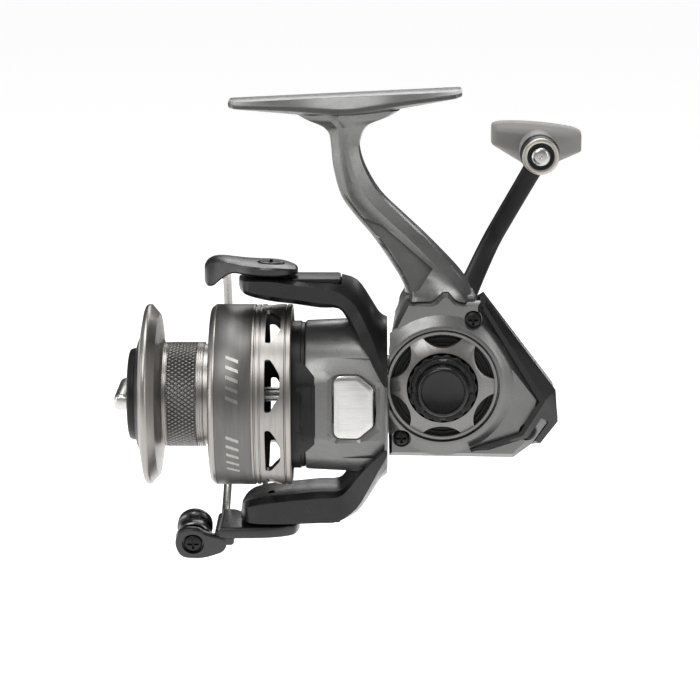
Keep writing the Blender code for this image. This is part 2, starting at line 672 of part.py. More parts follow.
ARMS = {
    # cover from and to, pivot shank from and to, pivot head from and to
    "upper": ((32.3, 33.9), (29.2, 36.6), (36.1, 37.4)),
    "lower": ((-35.6, -34.0), (-38.4, -30.4), (-39.3, -37.9)),
}
SHANK_R, HEAD_R = 1.35, 3.4
for label, (lid, shank, head) in ARMS.items():
    node(f"rotor_arm_cover_{label}", box((-40.9, -5.1, lid[0]), (-27.5, 5.1, lid[1])), GUNMETAL)
    node(
        f"bail_pivot_screw_{label}", disc(*head, HEAD_R, "Z", BAIL_AXIS, SMALL), SATIN_BLACK,
        BAIL_AXIS, ops=add([disc(*shank, SHANK_R, "Z", BAIL_AXIS, SMALL)]),
    )


def coil(start, length, turns, steps, radius, z=0.0):
    """Points along a helix about an axis parallel to X."""
    points = []
    for k in range(turns * steps + 1):
        a = 2 * math.pi * k / steps
        along = start + length * k / (turns * steps)
        points.append((along, radius * math.cos(a), z + radius * math.sin(a)))
    return points


node("bail_spring", tube(coil(-39.5, 10.8, 7, 6, 1.4, z=-31.9), 0.3, 5), STEEL)

# ---------------------------------------------------------------- bail

lever_plan = smooth([(-40.6, -4.6), (-46.5, -7.4), (-55.0, -4.4), (-62.0, 1.2), (-65.2, 6.0)], 3) + \
    smooth([(-64.4, 11.8), (-59.0, 13.6), (-52.0, 9.6), (-46.5, 7.4), (-40.6, 4.6), (-39.1, 0)], 3)
node(
    "bail_lever", prism([tuple(p) for p in lever_plan], 34.3, 37.4, "Z"), GUNMETAL, BAIL_AXIS,
    ops=add([loft([
        [Vector((x, y, z)) for x, y in ((-64.9, 5.0), (-57.4, 5.6), (-56.8, 12.2), (-64.0, 12.2))]
        for z in (29.1, 35.2)
    ])]) + cut([
        disc(33.0, 38.0, 1.75, "Z", BAIL_AXIS, SMALL), disc(35.8, 38.2, 3.8, "Z", BAIL_AXIS, SMALL),
        disc(10.0, 13.0, 1.45, "Y", Vector((-60.5, 0, 31.5)), SMALL),
    ]),
)
WIRE_R = 1.2
wire_points = smooth([
    (-60.5, 10.3, 31.5), (-60.5, 17.0, 31.6), (-60.5, 26.0, 30.3), (-60.5, 33.8, 25.6),
    (-60.5, 40.4, 14.0), (-60.5, 44.6, 1.0), (-60.5, 42.4, -12.0), (-60.5, 36.0, -24.0),
    (-60.5, 27.0, -32.4), (-60.5, 17.0, -37.4), (-60.5, 9.6, -39.4),
], 3)
node("bail_wire", tube(wire_points, WIRE_R, 10), STEEL, BAIL_AXIS)

ROLLER_AXIS_POINT = Vector((-68.4, -8.0, -40.9))
ROLLER_TILT = Matrix.Rotation(math.radians(13.5), 4, "X")


def on_roller(bm):
    bmesh.ops.transform(bm, matrix=Matrix.Translation(ROLLER_AXIS_POINT) @ ROLLER_TILT,
                        verts=bm.verts)
    return bm


comma = rounded([(-3.6, 4.6), (-5.3, 0.0), (-3.6, -4.6), (2.6, -4.9), (9.0, -2.6), (9.6, 1.6),
                 (3.6, 3.0), (1.6, 4.7)], 2.4)
arm_floor = smooth([(-39.0, 0), (-40.6, -4.8), (-46.5, -7.5), (-54.0, -8.3), (-61.0, -8.3)], 3) + \
    smooth([(-61.0, 10.6), (-57.4, 10.6), (-54.0, 7.6), (-46.5, 7.5), (-40.6, 4.8)], 3)
node(
    "roller_arm", prism([tuple(p) for p in arm_floor], -39.4, -36.1, "Z"), GUNMETAL, BAIL_AXIS,
    ops=add([
        on_roller(prism(comma, 0.0, 2.4)), box((-62.4, -7.9, -41.4), (-57.0, 10.6, -37.2)),
    ]) + cut([
        disc(-41, -35, 1.75, "Z", BAIL_AXIS, SMALL), disc(-42, -37.6, 3.8, "Z", BAIL_AXIS, SMALL),
        on_roller(disc(-1.0, 1.3, 3.1, "Y", ORIGIN, 20)), on_roller(disc(0, 4, 1.45, "Y", ORIGIN, 12)),
        disc(8.8, 12.0, 1.45, "Y", Vector((-60.5, 0, -39.3)), SMALL),
    ]),
)
node(
    "roller_screw",
    on_roller(lathe([(0.1, 0), (0.1, 2.2), (0.4, 2.5), (1.1, 2.5), (1.1, 1.25), (11.2, 1.25),
                     (11.2, 0)], "Y", steps=SMALL)), SATIN_BLACK, BAIL_AXIS,
    ops=cut([on_roller(box((-1.5, -1, -0.3), (1.5, 0.6, 0.3))),
             on_roller(box((-0.3, -1, -1.5), (0.3, 0.6, 1.5)))]),
)
node("roller_bearing", on_roller(washer(4.0, 9.6, 1.45, 2.8, "Y", ORIGIN, 20)), STEEL, BAIL_AXIS)
node(
    "roller_cap", on_roller(washer(10.3, 12.2, 1.4, 4.9, "Y", ORIGIN, 24)), GUNMETAL, BAIL_AXIS,
)
node(
    "line_roller",
    on_roller(lathe([(3.0, 3.0), (3.0, 5.0), (3.8, 5.0), (5.2, 4.1), (8.0, 4.1), (9.2, 5.0),
                     (10.0, 5.0), (10.0, 3.0)], "Y", steps=24, ring=True)),
    STEEL, ROLLER_AXIS_POINT,
)

# ---------------------------------------------------------------- spool

R_RIM, R_ARBOR, R_SKIRT = 24.9, 14.4, 24.9
SPOOL = [
    (-69.5, 12.6), (-80.3, 12.6), (-80.3, 17.9), (-82.2, 18.3), (-81.2, 23.8), (-80.6, R_RIM),
    (-79.5, R_RIM), (-77.4, 22.5), (-76.4, 14.9), (-75.6, R_ARBOR), (-63.6, R_ARBOR), (-63.0, 15.0),
    (-63.0, 23.4), (-61.6, R_SKIRT), (-40.9, R_SKIRT), (-40.7, 24.7), (-40.7, 23.6), (-61.0, 23.5),
    (-61.4, 12.6), (-67.5, 12.6), (-67.5, 6.0), (-58.2, 6.0), (-58.2, 2.6), (-69.5, 2.6),
]
WINDOW_FIRST, WINDOWS, WINDOW_SPAN, WINDOW_BACK = 26.0, 8, 33.4, 14.0


def window(number):
    middle = WINDOW_FIRST + 360 / WINDOWS * number
    rows = []
    for radius in (22.0, 27.0):
        rows.append([
            polar(-47.6, radius, middle - WINDOW_SPAN / 2), polar(-47.6, radius, middle),
            polar(-47.6, radius, middle + WINDOW_SPAN / 2),
            polar(-43.2, radius, middle + WINDOW_BACK / 2),
            polar(-43.2, radius, middle - WINDOW_BACK / 2),
        ])
    return loft(rows)


node(
    "spool", lathe(SPOOL, "X", steps=FINE, ring=True), PEWTER,
    ops=cut([window(k) for k in range(WINDOWS)]),
)
node("click_gear", toothed(-61.0, -59.4, 6.2, 8.6, 9.4, 20), STEEL)
WASHER_FIRST, WASHER_PITCH, WASHER_T = -70.9, 1.4, 1.1
KEYED, EARED = (2.2, 11.9, STEEL), (2.8, 12.3, FELT)
washers = {"keyed_a": KEYED, "eared_a": EARED, "keyed_b": KEYED, "eared_b": EARED}
for k, (label, (bore, radius, material)) in enumerate(washers.items()):
    x = WASHER_FIRST - WASHER_PITCH * k
    node(f"drag_washer_{label}", washer(x, x + WASHER_T, bore, radius), material)
node("drag_retainer", washer(-76.1, -75.5, 11.0, 12.3), STEEL)

# ---------------------------------------------------------------- drag knob

knob_profile = [
    (-80.9, 0), (-80.9, 17.4), (-81.6, 17.6), (-83.2, 15.0), (-83.8, 12.5), (-85.3, 12.4),
    (-85.7, 12.0), (-85.7, 0),
]
node(
    "drag_knob",
    lathe(knob_profile, "X", steps=FINE), SATIN_BLACK,
    ops=cut([disc(-84.9, -80.0, 2.3, "X", steps=24), box((-86.5, -11.0, -2.0), (-84.9, 11.0, 2.0))]),
)
node(
    "drag_knob_bar",
    prism([tuple(p) for p in rounded([(-89.2, -10.4), (-85.2, -10.8), (-85.2, 10.8), (-89.2, 10.4)],
                                     1.5)], -1.7, 1.7, "Z"), SILVER,
)
node("drag_spring", tube(coil(-80.2, 3.4, 3, 8, 4.0), 0.35, 6), STEEL)
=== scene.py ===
"""Spinning reel, finished for show on its CAD frame.

Pieces are drawn in the layout frame, in millimetres: X runs to the rear of the reel, Y to the handle
side and Z up to the foot. The spool and rotor turn about X at y = z = 0. to_row() turns a layout point
into the row frame, whose origin is the centre of the foot's seat.
"""

import json
import math

import bmesh
import bpy
from mathutils import Matrix, Vector

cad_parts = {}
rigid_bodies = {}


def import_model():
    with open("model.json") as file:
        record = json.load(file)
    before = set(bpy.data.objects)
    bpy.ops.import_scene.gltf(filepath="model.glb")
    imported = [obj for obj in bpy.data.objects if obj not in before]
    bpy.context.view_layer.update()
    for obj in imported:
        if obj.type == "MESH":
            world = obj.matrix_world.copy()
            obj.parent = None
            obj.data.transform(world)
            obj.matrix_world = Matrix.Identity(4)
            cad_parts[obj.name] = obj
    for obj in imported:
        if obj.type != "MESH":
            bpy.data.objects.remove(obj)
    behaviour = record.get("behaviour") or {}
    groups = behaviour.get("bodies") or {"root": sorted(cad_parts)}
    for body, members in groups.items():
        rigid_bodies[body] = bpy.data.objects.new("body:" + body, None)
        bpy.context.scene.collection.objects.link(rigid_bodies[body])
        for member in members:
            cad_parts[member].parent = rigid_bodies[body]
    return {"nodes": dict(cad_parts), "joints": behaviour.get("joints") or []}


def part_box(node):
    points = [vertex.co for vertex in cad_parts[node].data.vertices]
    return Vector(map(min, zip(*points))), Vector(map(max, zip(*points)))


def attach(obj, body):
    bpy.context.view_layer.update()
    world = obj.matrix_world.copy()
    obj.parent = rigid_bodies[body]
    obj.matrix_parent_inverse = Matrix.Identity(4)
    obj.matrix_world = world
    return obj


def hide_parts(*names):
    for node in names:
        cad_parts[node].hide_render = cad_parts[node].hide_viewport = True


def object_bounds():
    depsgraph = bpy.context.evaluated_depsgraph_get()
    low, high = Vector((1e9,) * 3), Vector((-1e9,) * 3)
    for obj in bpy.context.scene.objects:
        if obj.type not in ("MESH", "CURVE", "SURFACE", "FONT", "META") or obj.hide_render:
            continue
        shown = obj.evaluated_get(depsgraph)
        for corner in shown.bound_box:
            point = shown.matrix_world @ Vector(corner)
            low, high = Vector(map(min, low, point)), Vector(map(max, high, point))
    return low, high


for startup_object in list(bpy.data.objects):
    bpy.data.objects.remove(startup_object, do_unlink=True)

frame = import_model()
cad_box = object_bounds()

MM = 0.001
ORIGIN = Vector((0.0, 0.0, 0.0))
JOINT_AT = {
    j["name"]: Vector(j["pos_m"]) / MM for j in frame["joints"] if "pos_m" in j
}
DRIVE_Z = 6.5
CRANK_AXIS = Vector((0.0, 0.0, DRIVE_Z))
FOOT_CENTRE = CRANK_AXIS - JOINT_AT["handle_turn"]
FOOT_TILT = math.radians(2.8)

FINE, ROUND, SMALL = 128, 64, 32


def at_joint(name):
    """A joint's place in the layout frame."""
    return JOINT_AT[name] + FOOT_CENTRE


def span(name):
    """Lowest and highest corner of a CAD node in the layout frame."""
    low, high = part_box(name)
    return Vector(low) / MM + FOOT_CENTRE, Vector(high) / MM + FOOT_CENTRE


def to_row(point):
    return (Vector(point) - FOOT_CENTRE) * MM


BAIL_AXIS = Vector((at_joint("bail_flip").x, 0.0, 0.0))
BAIL_X = BAIL_AXIS.x
LEVER_AXIS = Vector((at_joint("anti_reverse_switch").x, 0.0, 0.0))
KNOB_AXIS = Vector((at_joint("handle_knob_spin").x, 0.0, at_joint("handle_knob_spin").z))
NEAR = -15.2
FAR = -NEAR
SEAM_Y = -11.0


# --- mesh helpers

def full_turn(count):
    """Evenly spaced angles of one turn."""
    return [2 * math.pi * k / count for k in range(count)]


def place(axis, along, first, second):
    if axis == "X":
        return Vector((along, first, second))
    if axis == "Y":
        return Vector((first, along, second))
    return Vector((first, second, along))


def bridge(bm, lower, upper):
    count = max(len(lower), len(upper))
    if len(lower) == len(upper) == 1:
        return
    for k in range(count):
        nxt = (k + 1) % count
        if len(lower) == 1:
            bm.faces.new((lower[0], upper[nxt], upper[k]))
        elif len(upper) == 1:
            bm.faces.new((lower[k], lower[nxt], upper[0]))
        else:
            bm.faces.new((lower[k], lower[nxt], upper[nxt], upper[k]))


def loft(rows, ring=False):
    """Skin through rows of points. Open ends are capped; ring=True joins the last row to the first."""
    bm = bmesh.new()
    made = [[bm.verts.new(point) for point in row] for row in rows]
    for lower, upper in zip(made, made[1:]):
        bridge(bm, lower, upper)
    if ring:
        bridge(bm, made[-1], made[0])
    else:
        for end in (made[0], made[-1]):
            if len(end) > 2:
                bm.faces.new(end)
    bmesh.ops.recalc_face_normals(bm, faces=bm.faces)
    return bm


def lathe(profile, axis="X", centre=ORIGIN, steps=FINE, ring=False):
    """Solid of revolution through (along, radius) pairs."""
    rows = []
    for along, radius in profile:
        if radius == 0:
            rows.append([centre + place(axis, along, 0, 0)])
            continue
        rows.append([
            centre + place(axis, along, radius * math.cos(a), radius * math.sin(a))
            for a in full_turn(steps)
        ])
    return loft(rows, ring)


def disc(low, high, radius, axis="X", centre=ORIGIN, steps=ROUND):
    return lathe([(low, radius), (high, radius)], axis, centre, steps)


def washer(low, high, bore, radius, axis="X", centre=ORIGIN, steps=ROUND):
    edge = min(0.25, (high - low) / 4)
    profile = [
        (low, bore), (low, radius - edge), (low + edge, radius), (high - edge, radius),
        (high, radius - edge), (high, bore),
    ]
    return lathe(profile, axis, centre, steps, ring=True)


def prism(outline, low, high, axis="Y", centre=ORIGIN):
    """Straight extrusion; the outline holds the two coordinates left when axis is taken away."""
    return loft([[centre + place(axis, along, a, b) for a, b in outline] for along in (low, high)])


QUARTER = [math.radians(a) for a in (0, 30, 60, 90)]


def pillow(outline, low, high, edge, axis="Z", centre=ORIGIN, low_edge=None):
    """Extrusion whose two rims are rounded by edge; low_edge rounds the low rim differently."""
    low_edge = edge if low_edge is None else low_edge
    levels = [(low + low_edge * (1 - math.cos(t)), low_edge * (1 - math.sin(t))) for t in QUARTER]
    levels += [(high - edge * (1 - math.cos(t)), edge * (1 - math.sin(t))) for t in reversed(QUARTER)]
    return loft([
        [centre + place(axis, level, a, b) for a, b in moved_in(outline, inward)]
        for level, inward in levels
    ])


def box(low, high):
    outline = [(low[0], low[2]), (high[0], low[2]), (high[0], high[2]), (low[0], high[2])]
    return prism(outline, low[1], high[1])


def tube(path, radius, steps=24):
    """Round bar along a path."""
    points = [Vector(p) for p in path]
    rows = []
    side = None
    for k, point in enumerate(points):
        tangent = (points[min(k + 1, len(points) - 1)] - points[max(k - 1, 0)]).normalized()
        guess = side if side is not None else tangent.orthogonal()
        side = (guess - tangent * guess.dot(tangent)).normalized()
        other = tangent.cross(side)
        rows.append([
            point + (side * math.cos(a) + other * math.sin(a)) * radius for a in full_turn(steps)
        ])
    return loft(rows)


def rounded(points, radius, steps=8):
    """Closed outline with each corner cut back by radius and rounded."""
    result = []
    for k, corner in enumerate(points):
        here = Vector(corner)
        before, after = Vector(points[k - 1]), Vector(points[(k + 1) % len(points)])
        start = here + (before - here).normalized() * min(radius, (before - here).length * 0.45)
        end = here + (after - here).normalized() * min(radius, (after - here).length * 0.45)
        for j in range(steps + 1):
            t = j / steps
            result.append(tuple(start * (1 - t) ** 2 + here * 2 * t * (1 - t) + end * t * t))
    return result


def refine(rows, steps=6):
    """Catmull-Rom curve through rows of numbers."""
    result = []
    last = len(rows) - 1
    for k in range(last):
        four = rows[max(k - 1, 0)], rows[k], rows[k + 1], rows[min(k + 2, last)]
        for j in range(steps):
            t = j / steps
            result.append(tuple(
                0.5 * (2 * b + (c - a) * t + (2 * a - 5 * b + 4 * c - d) * t ** 2
                       + (3 * b - a - 3 * c + d) * t ** 3)
                for a, b, c, d in zip(*four)
            ))
    result.append(tuple(rows[last]))
    return result


def moved_in(outline, amount):
    """Outline moved inwards by amount, or outwards if it is negative."""
    area = sum(
        outline[k - 1][0] * p[1] - p[0] * outline[k - 1][1] for k, p in enumerate(outline)
    )
    turn = 1 if area > 0 else -1
    result = []
    for k, corner in enumerate(outline):
        here = Vector(corner)
        before = (here - Vector(outline[k - 1])).normalized()
        after = (Vector(outline[(k + 1) % len(outline)]) - here).normalized()
        normal = Vector((-(before.y + after.y), before.x + after.x)).normalized()
        spread = max(normal.dot(Vector((-before.y, before.x))), 0.3)
        result.append(tuple(here + normal * turn * amount / spread))
    return result


def both_ways(half):
    """Stations given from one end to the middle, continued to the other end."""
    return half + [(-along, *rest) for along, *rest in half[-2::-1]]


def polar(x, radius, degrees):
    """Point at an angle about the X axis, from straight up towards the near side."""
    a = math.radians(degrees)
    return Vector((x, -radius * math.sin(a), radius * math.cos(a)))


def grooves(start, end, count, radius, depth):
    """Turned grooves, as profile points from start to end."""
    points = []
    pitch = (end - start) / count
    for k in range(count):
        x = start + pitch * k
        points += [
            (x, radius), (x + pitch * 0.45, radius), (x + pitch * 0.6, radius - depth),
            (x + pitch * 0.85, radius - depth),
        ]
    return points + [(end, radius)]


def to_object(name, bm, pivot):
    for vert in bm.verts:
        vert.co = (vert.co - pivot) * MM
    mesh = bpy.data.meshes.new(name)
    bm.to_mesh(mesh)
    bm.free()
    made = bpy.data.objects.new(name, mesh)
    made.location = to_row(pivot)
    bpy.context.collection.objects.link(made)
    return made


def carve(target, steps, pivot):
    """Boolean steps, each a sign and a solid, applied in order."""
    tools = []
    for k, (sign, solid) in enumerate(steps):
        tool = to_object(f"{target.name}_tool_{k}", solid, pivot)
        tools.append(tool)
        modifier = target.modifiers.new(f"step_{k}", "BOOLEAN")
        modifier.operation = "UNION" if sign == "+" else "DIFFERENCE"
        modifier.solver = "EXACT"
        modifier.object = tool
    if tools:
        graph = bpy.context.evaluated_depsgraph_get()
        mesh = bpy.data.meshes.new_from_object(target.evaluated_get(graph))
        target.modifiers.clear()
        target.data = mesh
        for tool in tools:
            bpy.data.objects.remove(tool)


def piece(name, bm, finish, body, nodes=(), pivot=ORIGIN, steps=(), bevel=0.0, sharp=32):
    """One finished piece: it rides on body and stands for the CAD nodes that it names."""
    made = to_object(name, bm, pivot)
    carve(made, steps, pivot)
    made.data.materials.clear()
    made.data.materials.append(finish)
    made.data.shade_smooth()
    if bevel:
        modifier = made.modifiers.new("edges", "BEVEL")
        modifier.width = bevel * MM
        modifier.segments = 2
        modifier.limit_method = "ANGLE"
        modifier.angle_limit = math.radians(sharp)
        modifier.harden_normals = True
        modifier.use_clamp_overlap = True
    else:
        made.data.set_sharp_from_angle(angle=math.radians(sharp))
    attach(made, body)
    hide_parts(*nodes)
    return made


def add(solids):
    return [("+", solid) for solid in solids]


def cut(solids):
    return [("-", solid) for solid in solids]


# --- finishes

class Finish:
    """A Principled material whose node tree is built up step by step."""

    def __init__(self, name, slot, colour, roughness, metallic, **sockets):
        self.material = bpy.data.materials.new(name)
        self.material["slot"] = slot
        self.material.use_nodes = True
        self.tree = self.material.node_tree
        self.shader = self.tree.nodes["Principled BSDF"]
        self.colour = colour
        self.shader.inputs["Base Color"].default_value = (*colour, 1.0)
        self.shader.inputs["Roughness"].default_value = roughness
        self.shader.inputs["Metallic"].default_value = metallic
        for socket, value in sockets.items():
            self.shader.inputs[socket.replace("_", " ")].default_value = value
        self.place = self.tree.nodes.new("ShaderNodeTexCoord").outputs["Object"]
        self.normal = None

    def fill(self, node, values):
        """Sets a node's first inputs, each to a number or to another node's output."""
        for socket, value in zip(node.inputs, values):
            if isinstance(value, (int, float)):
                socket.default_value = value
            else:
                self.tree.links.new(value, socket)
        return node.outputs[0]

    def maths(self, operation, *values):
        made = self.tree.nodes.new("ShaderNodeMath")
        made.operation = operation
        return self.fill(made, values)

    def mixed(self, first, second, share):
        """Weighted sum of two factors."""
        return self.maths(
            "ADD", self.maths("MULTIPLY", first, share), self.maths("MULTIPLY", second, 1 - share)
        )

    def stretched(self, x, y, z):
        made = self.tree.nodes.new("ShaderNodeMapping")
        made.inputs["Scale"].default_value = (x, y, z)
        self.tree.links.new(self.place, made.inputs["Vector"])
        return made.outputs["Vector"]

    def noise(self, scale, detail=2.0, rough=0.5, source=None):
        made = self.tree.nodes.new("ShaderNodeTexNoise")
        made.inputs["Scale"].default_value = scale
        made.inputs["Detail"].default_value = detail
        made.inputs["Roughness"].default_value = rough
        self.tree.links.new(source or self.place, made.inputs["Vector"])
        return made.outputs["Fac"]

    def split(self):
        made = self.tree.nodes.new("ShaderNodeSeparateXYZ")
        self.tree.links.new(self.place, made.inputs[0])
        return made.outputs

    def joined(self, *values):
        return self.fill(self.tree.nodes.new("ShaderNodeCombineXYZ"), values)

    def turned(self, fine=9000.0, around=3.0):
        """Coordinates that run along lathe marks about the piece's own X axis."""
        x, y, z = self.split()
        square = self.maths("ADD", self.maths("MULTIPLY", y, y), self.maths("MULTIPLY", z, z))
        radius = self.maths("SQRT", square)
        angle = self.maths("ARCTAN2", y, z)
        return self.joined(
            self.maths("MULTIPLY", x, fine), self.maths("MULTIPLY", radius, fine),
            self.maths("MULTIPLY", angle, around),
        )

    def ramp(self, factor, *stops):
        made = self.tree.nodes.new("ShaderNodeValToRGB")
        elements = made.color_ramp.elements
        while len(elements) < len(stops):
            elements.new(0.5)
        for element, (at, value) in zip(elements, stops):
            element.position = at
            element.color = (value, value, value, 1) if isinstance(value, float) else (*value, 1)
        self.tree.links.new(factor, made.inputs[0])
        return made.outputs[0]

    def tint(self, factor, dark, light, low=0.3, high=0.7):
        """The colour varies by factor between dark and light shares of itself."""
        shades = [tuple(c * share for c in self.colour) for share in (dark, light)]
        self.tree.links.new(
            self.ramp(factor, (low, shades[0]), (high, shades[1])), self.shader.inputs["Base Color"]
        )

    def roughness(self, factor, smooth, rough, low=0.3, high=0.7):
        self.tree.links.new(
            self.ramp(factor, (low, float(smooth)), (high, float(rough))),
            self.shader.inputs["Roughness"],
        )

    def bump(self, height, distance, strength=1.0):
        """Relief, with distance in millimetres. A second call adds to the first."""
        made = self.tree.nodes.new("ShaderNodeBump")
        made.inputs["Distance"].default_value = distance * MM
        made.inputs["Strength"].default_value = strength
        self.tree.links.new(height, made.inputs["Height"])
        if self.normal is not None:
            self.tree.links.new(self.normal, made.inputs["Normal"])
        self.normal = made.outputs["Normal"]
        self.tree.links.new(self.normal, self.shader.inputs["Normal"])


def metallic_paint(name, colour, roughness, coat=0.35):
    """Metal-flake paint under a thin clear coat."""
    f = Finish(name, "gunmetal_paint", colour, roughness, 0.75, Coat_Weight=coat, Coat_Roughness=0.22)
    flakes = f.noise(5200.0, 1.0)
    clouds = f.noise(90.0, 3.0)
    f.tint(f.mixed(flakes, clouds, 0.75), 0.82, 1.2, 0.35, 0.65)
    f.roughness(f.noise(420.0, 3.0), roughness - 0.04, roughness + 0.07)
    f.bump(flakes, 0.004, 0.35)
    f.bump(f.noise(700.0, 2.0), 0.006, 0.4)
    return f.material


def turned_metal(name, colour, roughness, strength=0.5):
    """Satin anodised metal with fine lathe marks about X."""
    f = Finish(name, "pewter", colour, roughness, 1.0)
    marks = f.noise(1.0, 2.0, 0.6, f.turned())
    broad = f.noise(1.0, 2.0, 0.5, f.turned(900.0, 2.0))
    f.tint(f.mixed(marks, broad, 0.5), 0.86, 1.12, 0.35, 0.65)
    f.roughness(marks, roughness - 0.06, roughness + 0.08)
    f.bump(marks, 0.01, strength)
    return f.material


def knurled_metal(name, colour, radius, pitch, stretch=1.5, roughness=0.36):
    """Diamond knurl about X, stretched along it; radius and pitch in millimetres."""
    f = Finish(name, "pewter", colour, roughness, 0.95)
    x, y, z = f.split()
    angle = f.maths("MULTIPLY", f.maths("ARCTAN2", y, z), round(2 * math.pi * radius / pitch))
    along = f.maths("MULTIPLY", x, 2 * math.pi / (pitch * stretch * MM))
    ridges = []
    for way in ("ADD", "SUBTRACT"):
        phase = f.maths("MULTIPLY", f.maths(way, angle, along), 0.5)
        ridges.append(f.maths("ABSOLUTE", f.maths("SINE", phase)))
    height = f.maths("MINIMUM", *ridges)
    # The colour follows the knurl's height: darker in the grooves as painted shade, lighter on the ridges
    # as painted highlight.
    f.tint(height, 0.35, 1.25, 0.05, 0.75)
    f.bump(height, 0.28, 1.0)
    return f.material


def drawn_metal(name, slot, colour, roughness, scale=2500.0):
    """Polished or drawn metal with faint scratches and cloudy stains."""
    f = Finish(name, slot, colour, roughness, 1.0)
    scratches = f.noise(1.0, 3.0, 0.6, f.stretched(scale * 0.1, scale, scale * 0.4))
    f.tint(f.noise(160.0, 3.0), 0.85, 1.1)
    f.roughness(scratches, roughness - 0.07, roughness + 0.09)
    f.bump(scratches, 0.006, 0.4)
    return f.material


def brushed_plate(name, colour):
    """Plate brushed along X."""
    f = Finish(name, "badge_silver", colour, 0.24, 1.0)
    strokes = f.noise(1.0, 3.0, 0.65, f.stretched(180.0, 7000.0, 7000.0))
    f.tint(strokes, 0.84, 1.1, 0.35, 0.65)
    f.roughness(strokes, 0.2, 0.34)
    f.bump(strokes, 0.006, 0.5)
    return f.material


def black_finish(name, slot, colour, roughness, grain, coat=0.0):
    """Moulded or painted black with a fine grain."""
    f = Finish(
        name, slot, colour, roughness, 0.0, Coat_Weight=coat, Coat_Roughness=0.06,
        Specular_IOR_Level=0.22,
    )
    fine = f.noise(grain, 2.0)
    f.tint(f.noise(130.0, 3.0), 0.75, 1.4)
    f.roughness(fine, roughness - 0.04, roughness + 0.08)
    f.bump(fine, 0.012, 0.35)
    return f.material


def soft_plastic(name, colour):
    """Rubbery soft-touch moulding."""
    f = Finish(name, "knob_grey", colour, 0.5, 0.0, Sheen_Weight=0.15, Sheen_Roughness=0.5)
    grain = f.noise(2600.0, 3.0)
    f.tint(f.mixed(grain, f.noise(70.0), 0.5), 0.88, 1.1)
    f.roughness(grain, 0.44, 0.6)
    f.bump(grain, 0.02, 0.4)
    return f.material


def felt_finish(name, colour):
    f = Finish(name, "felt", colour, 0.95, 0.0, Sheen_Weight=0.4)
    fibres = f.noise(1.0, 4.0, 0.7, f.stretched(5000.0, 900.0, 1600.0))
    f.tint(fibres, 0.6, 1.5)
    f.bump(fibres, 0.08, 0.7)
    return f.material


GUNMETAL = metallic_paint("gunmetal_flake", (0.135, 0.134, 0.132), 0.31)
# Darker copy of the gunmetal paint for the rotor arms: the dark reflections on the arms are painted into
# its colour.
ARM_PAINT_DARK_REFLECTION = metallic_paint("arm_flake_painted_reflection", (0.022, 0.022, 0.022), 0.3, 0.1)
# Darker copy of the gunmetal paint for the bail lever and roller arm, darkened the same way as the arms:
# painted dark reflection.
BAIL_PAINT_DARK_REFLECTION = metallic_paint("bail_flake_painted_reflection", (0.034, 0.034, 0.034), 0.3, 0.15)
# Darker copy of the gunmetal paint for the foot: painted shade on its top, which faces the lights.
FOOT_PAINT_PAINTED_SHADE = metallic_paint("foot_flake_painted_shade", (0.095, 0.094, 0.092), 0.36)
TRIM = metallic_paint("trim_flake", (0.16, 0.157, 0.153), 0.3)
SPOOL_METAL = turned_metal("spool_anodised", (0.31, 0.296, 0.282), 0.33)
BAND_METAL = turned_metal("skirt_anodised", (0.135, 0.131, 0.127), 0.42, 0.35)
KNURL = knurled_metal("arbor_knurl", (0.15, 0.147, 0.142), 14.4, 1.25)
PEWTER = drawn_metal("lever_metal", "pewter", (0.42, 0.4, 0.37), 0.34)
STEEL = drawn_metal("drawn_steel", "steel", (0.44, 0.435, 0.43), 0.26)
WIRE_STEEL = drawn_metal("satin_wire", "steel", (0.3, 0.295, 0.285), 0.3, 1400.0)
DARK_STEEL = drawn_metal("dark_steel", "steel", (0.1, 0.1, 0.1), 0.24)
BRASS = drawn_metal("cut_brass", "brass", (0.62, 0.44, 0.2), 0.32)
BADGE = brushed_plate("badge_brushed", (0.52, 0.515, 0.505))
GLOSS_BLACK = black_finish(
    "gloss_black_moulding", "gloss_black", (0.006, 0.006, 0.006), 0.22, 900.0, 0.15,
)
SATIN_BLACK = black_finish("satin_black_paint", "satin_black", (0.008, 0.008, 0.008), 0.36, 2600.0)
DEEP_BLACK = black_finish("deep_black", "satin_black", (0.006, 0.006, 0.006), 0.5, 1800.0)
SOFT_GREY = soft_plastic("knob_soft_touch", (0.155, 0.149, 0.143))
FELT = felt_finish("drag_felt", (0.08, 0.08, 0.07))
KEPT = {
    "gunmetal_paint": GUNMETAL, "gloss_black": GLOSS_BLACK, "satin_black": SATIN_BLACK,
    "pewter": PEWTER, "steel": STEEL, "brass": BRASS, "badge_silver": BADGE,
    "knob_grey": SOFT_GREY, "felt": FELT,
}


# --- body, stem and foot

BODY_FRONT = -14.2
GEARBOX = [
    (BODY_FRONT, -13.8), (19.5, -14.3), (24.6, -10.4), (28.6, -4.6), (27.6, 3.0), (10.0, 26.6),
    (8.5, 30.0), (-9.8, 30.3), (-12.6, 23.6), (BODY_FRONT, 13.0),
]
GEARBOX_FAR = [
    (BODY_FRONT, -13.8), (19.0, -14.3), (23.6, -10.8), (27.0, -5.4), (26.0, 0.2), (8.8, 22.6),
    (7.2, 26.0), (-8.6, 26.2), (-12.6, 19.6), (BODY_FRONT, 10.0),
]
CAVITY = [
    (-10.8, -12.3), (18.5, -12.5), (22.9, -9.0), (26.5, -4.2), (25.5, 2.4), (7.6, 24.6),
    (-10.8, 24.6),
]
CAVITY_FAR = [
    (-10.8, -12.3), (17.8, -12.4), (22.0, -9.4), (25.0, -4.8), (24.5, 0.3), (7.6, 21.2),
    (-10.8, 18.4),
]
TAPER_Y = 0.0
SEAM_RISE = [(4.6, 28.7), (3.2, 29.4), (1.5, 31.2), (0.1, 31.2), (-1.7, 29.4), (-3.2, 28.7)]
PLATE = [
    *GEARBOX[:5], (11.0, 26.4), (10.2, 28.9), *SEAM_RISE, (-9.8, 28.9), (-12.6, 23.0),
    (BODY_FRONT, 13.0),
]
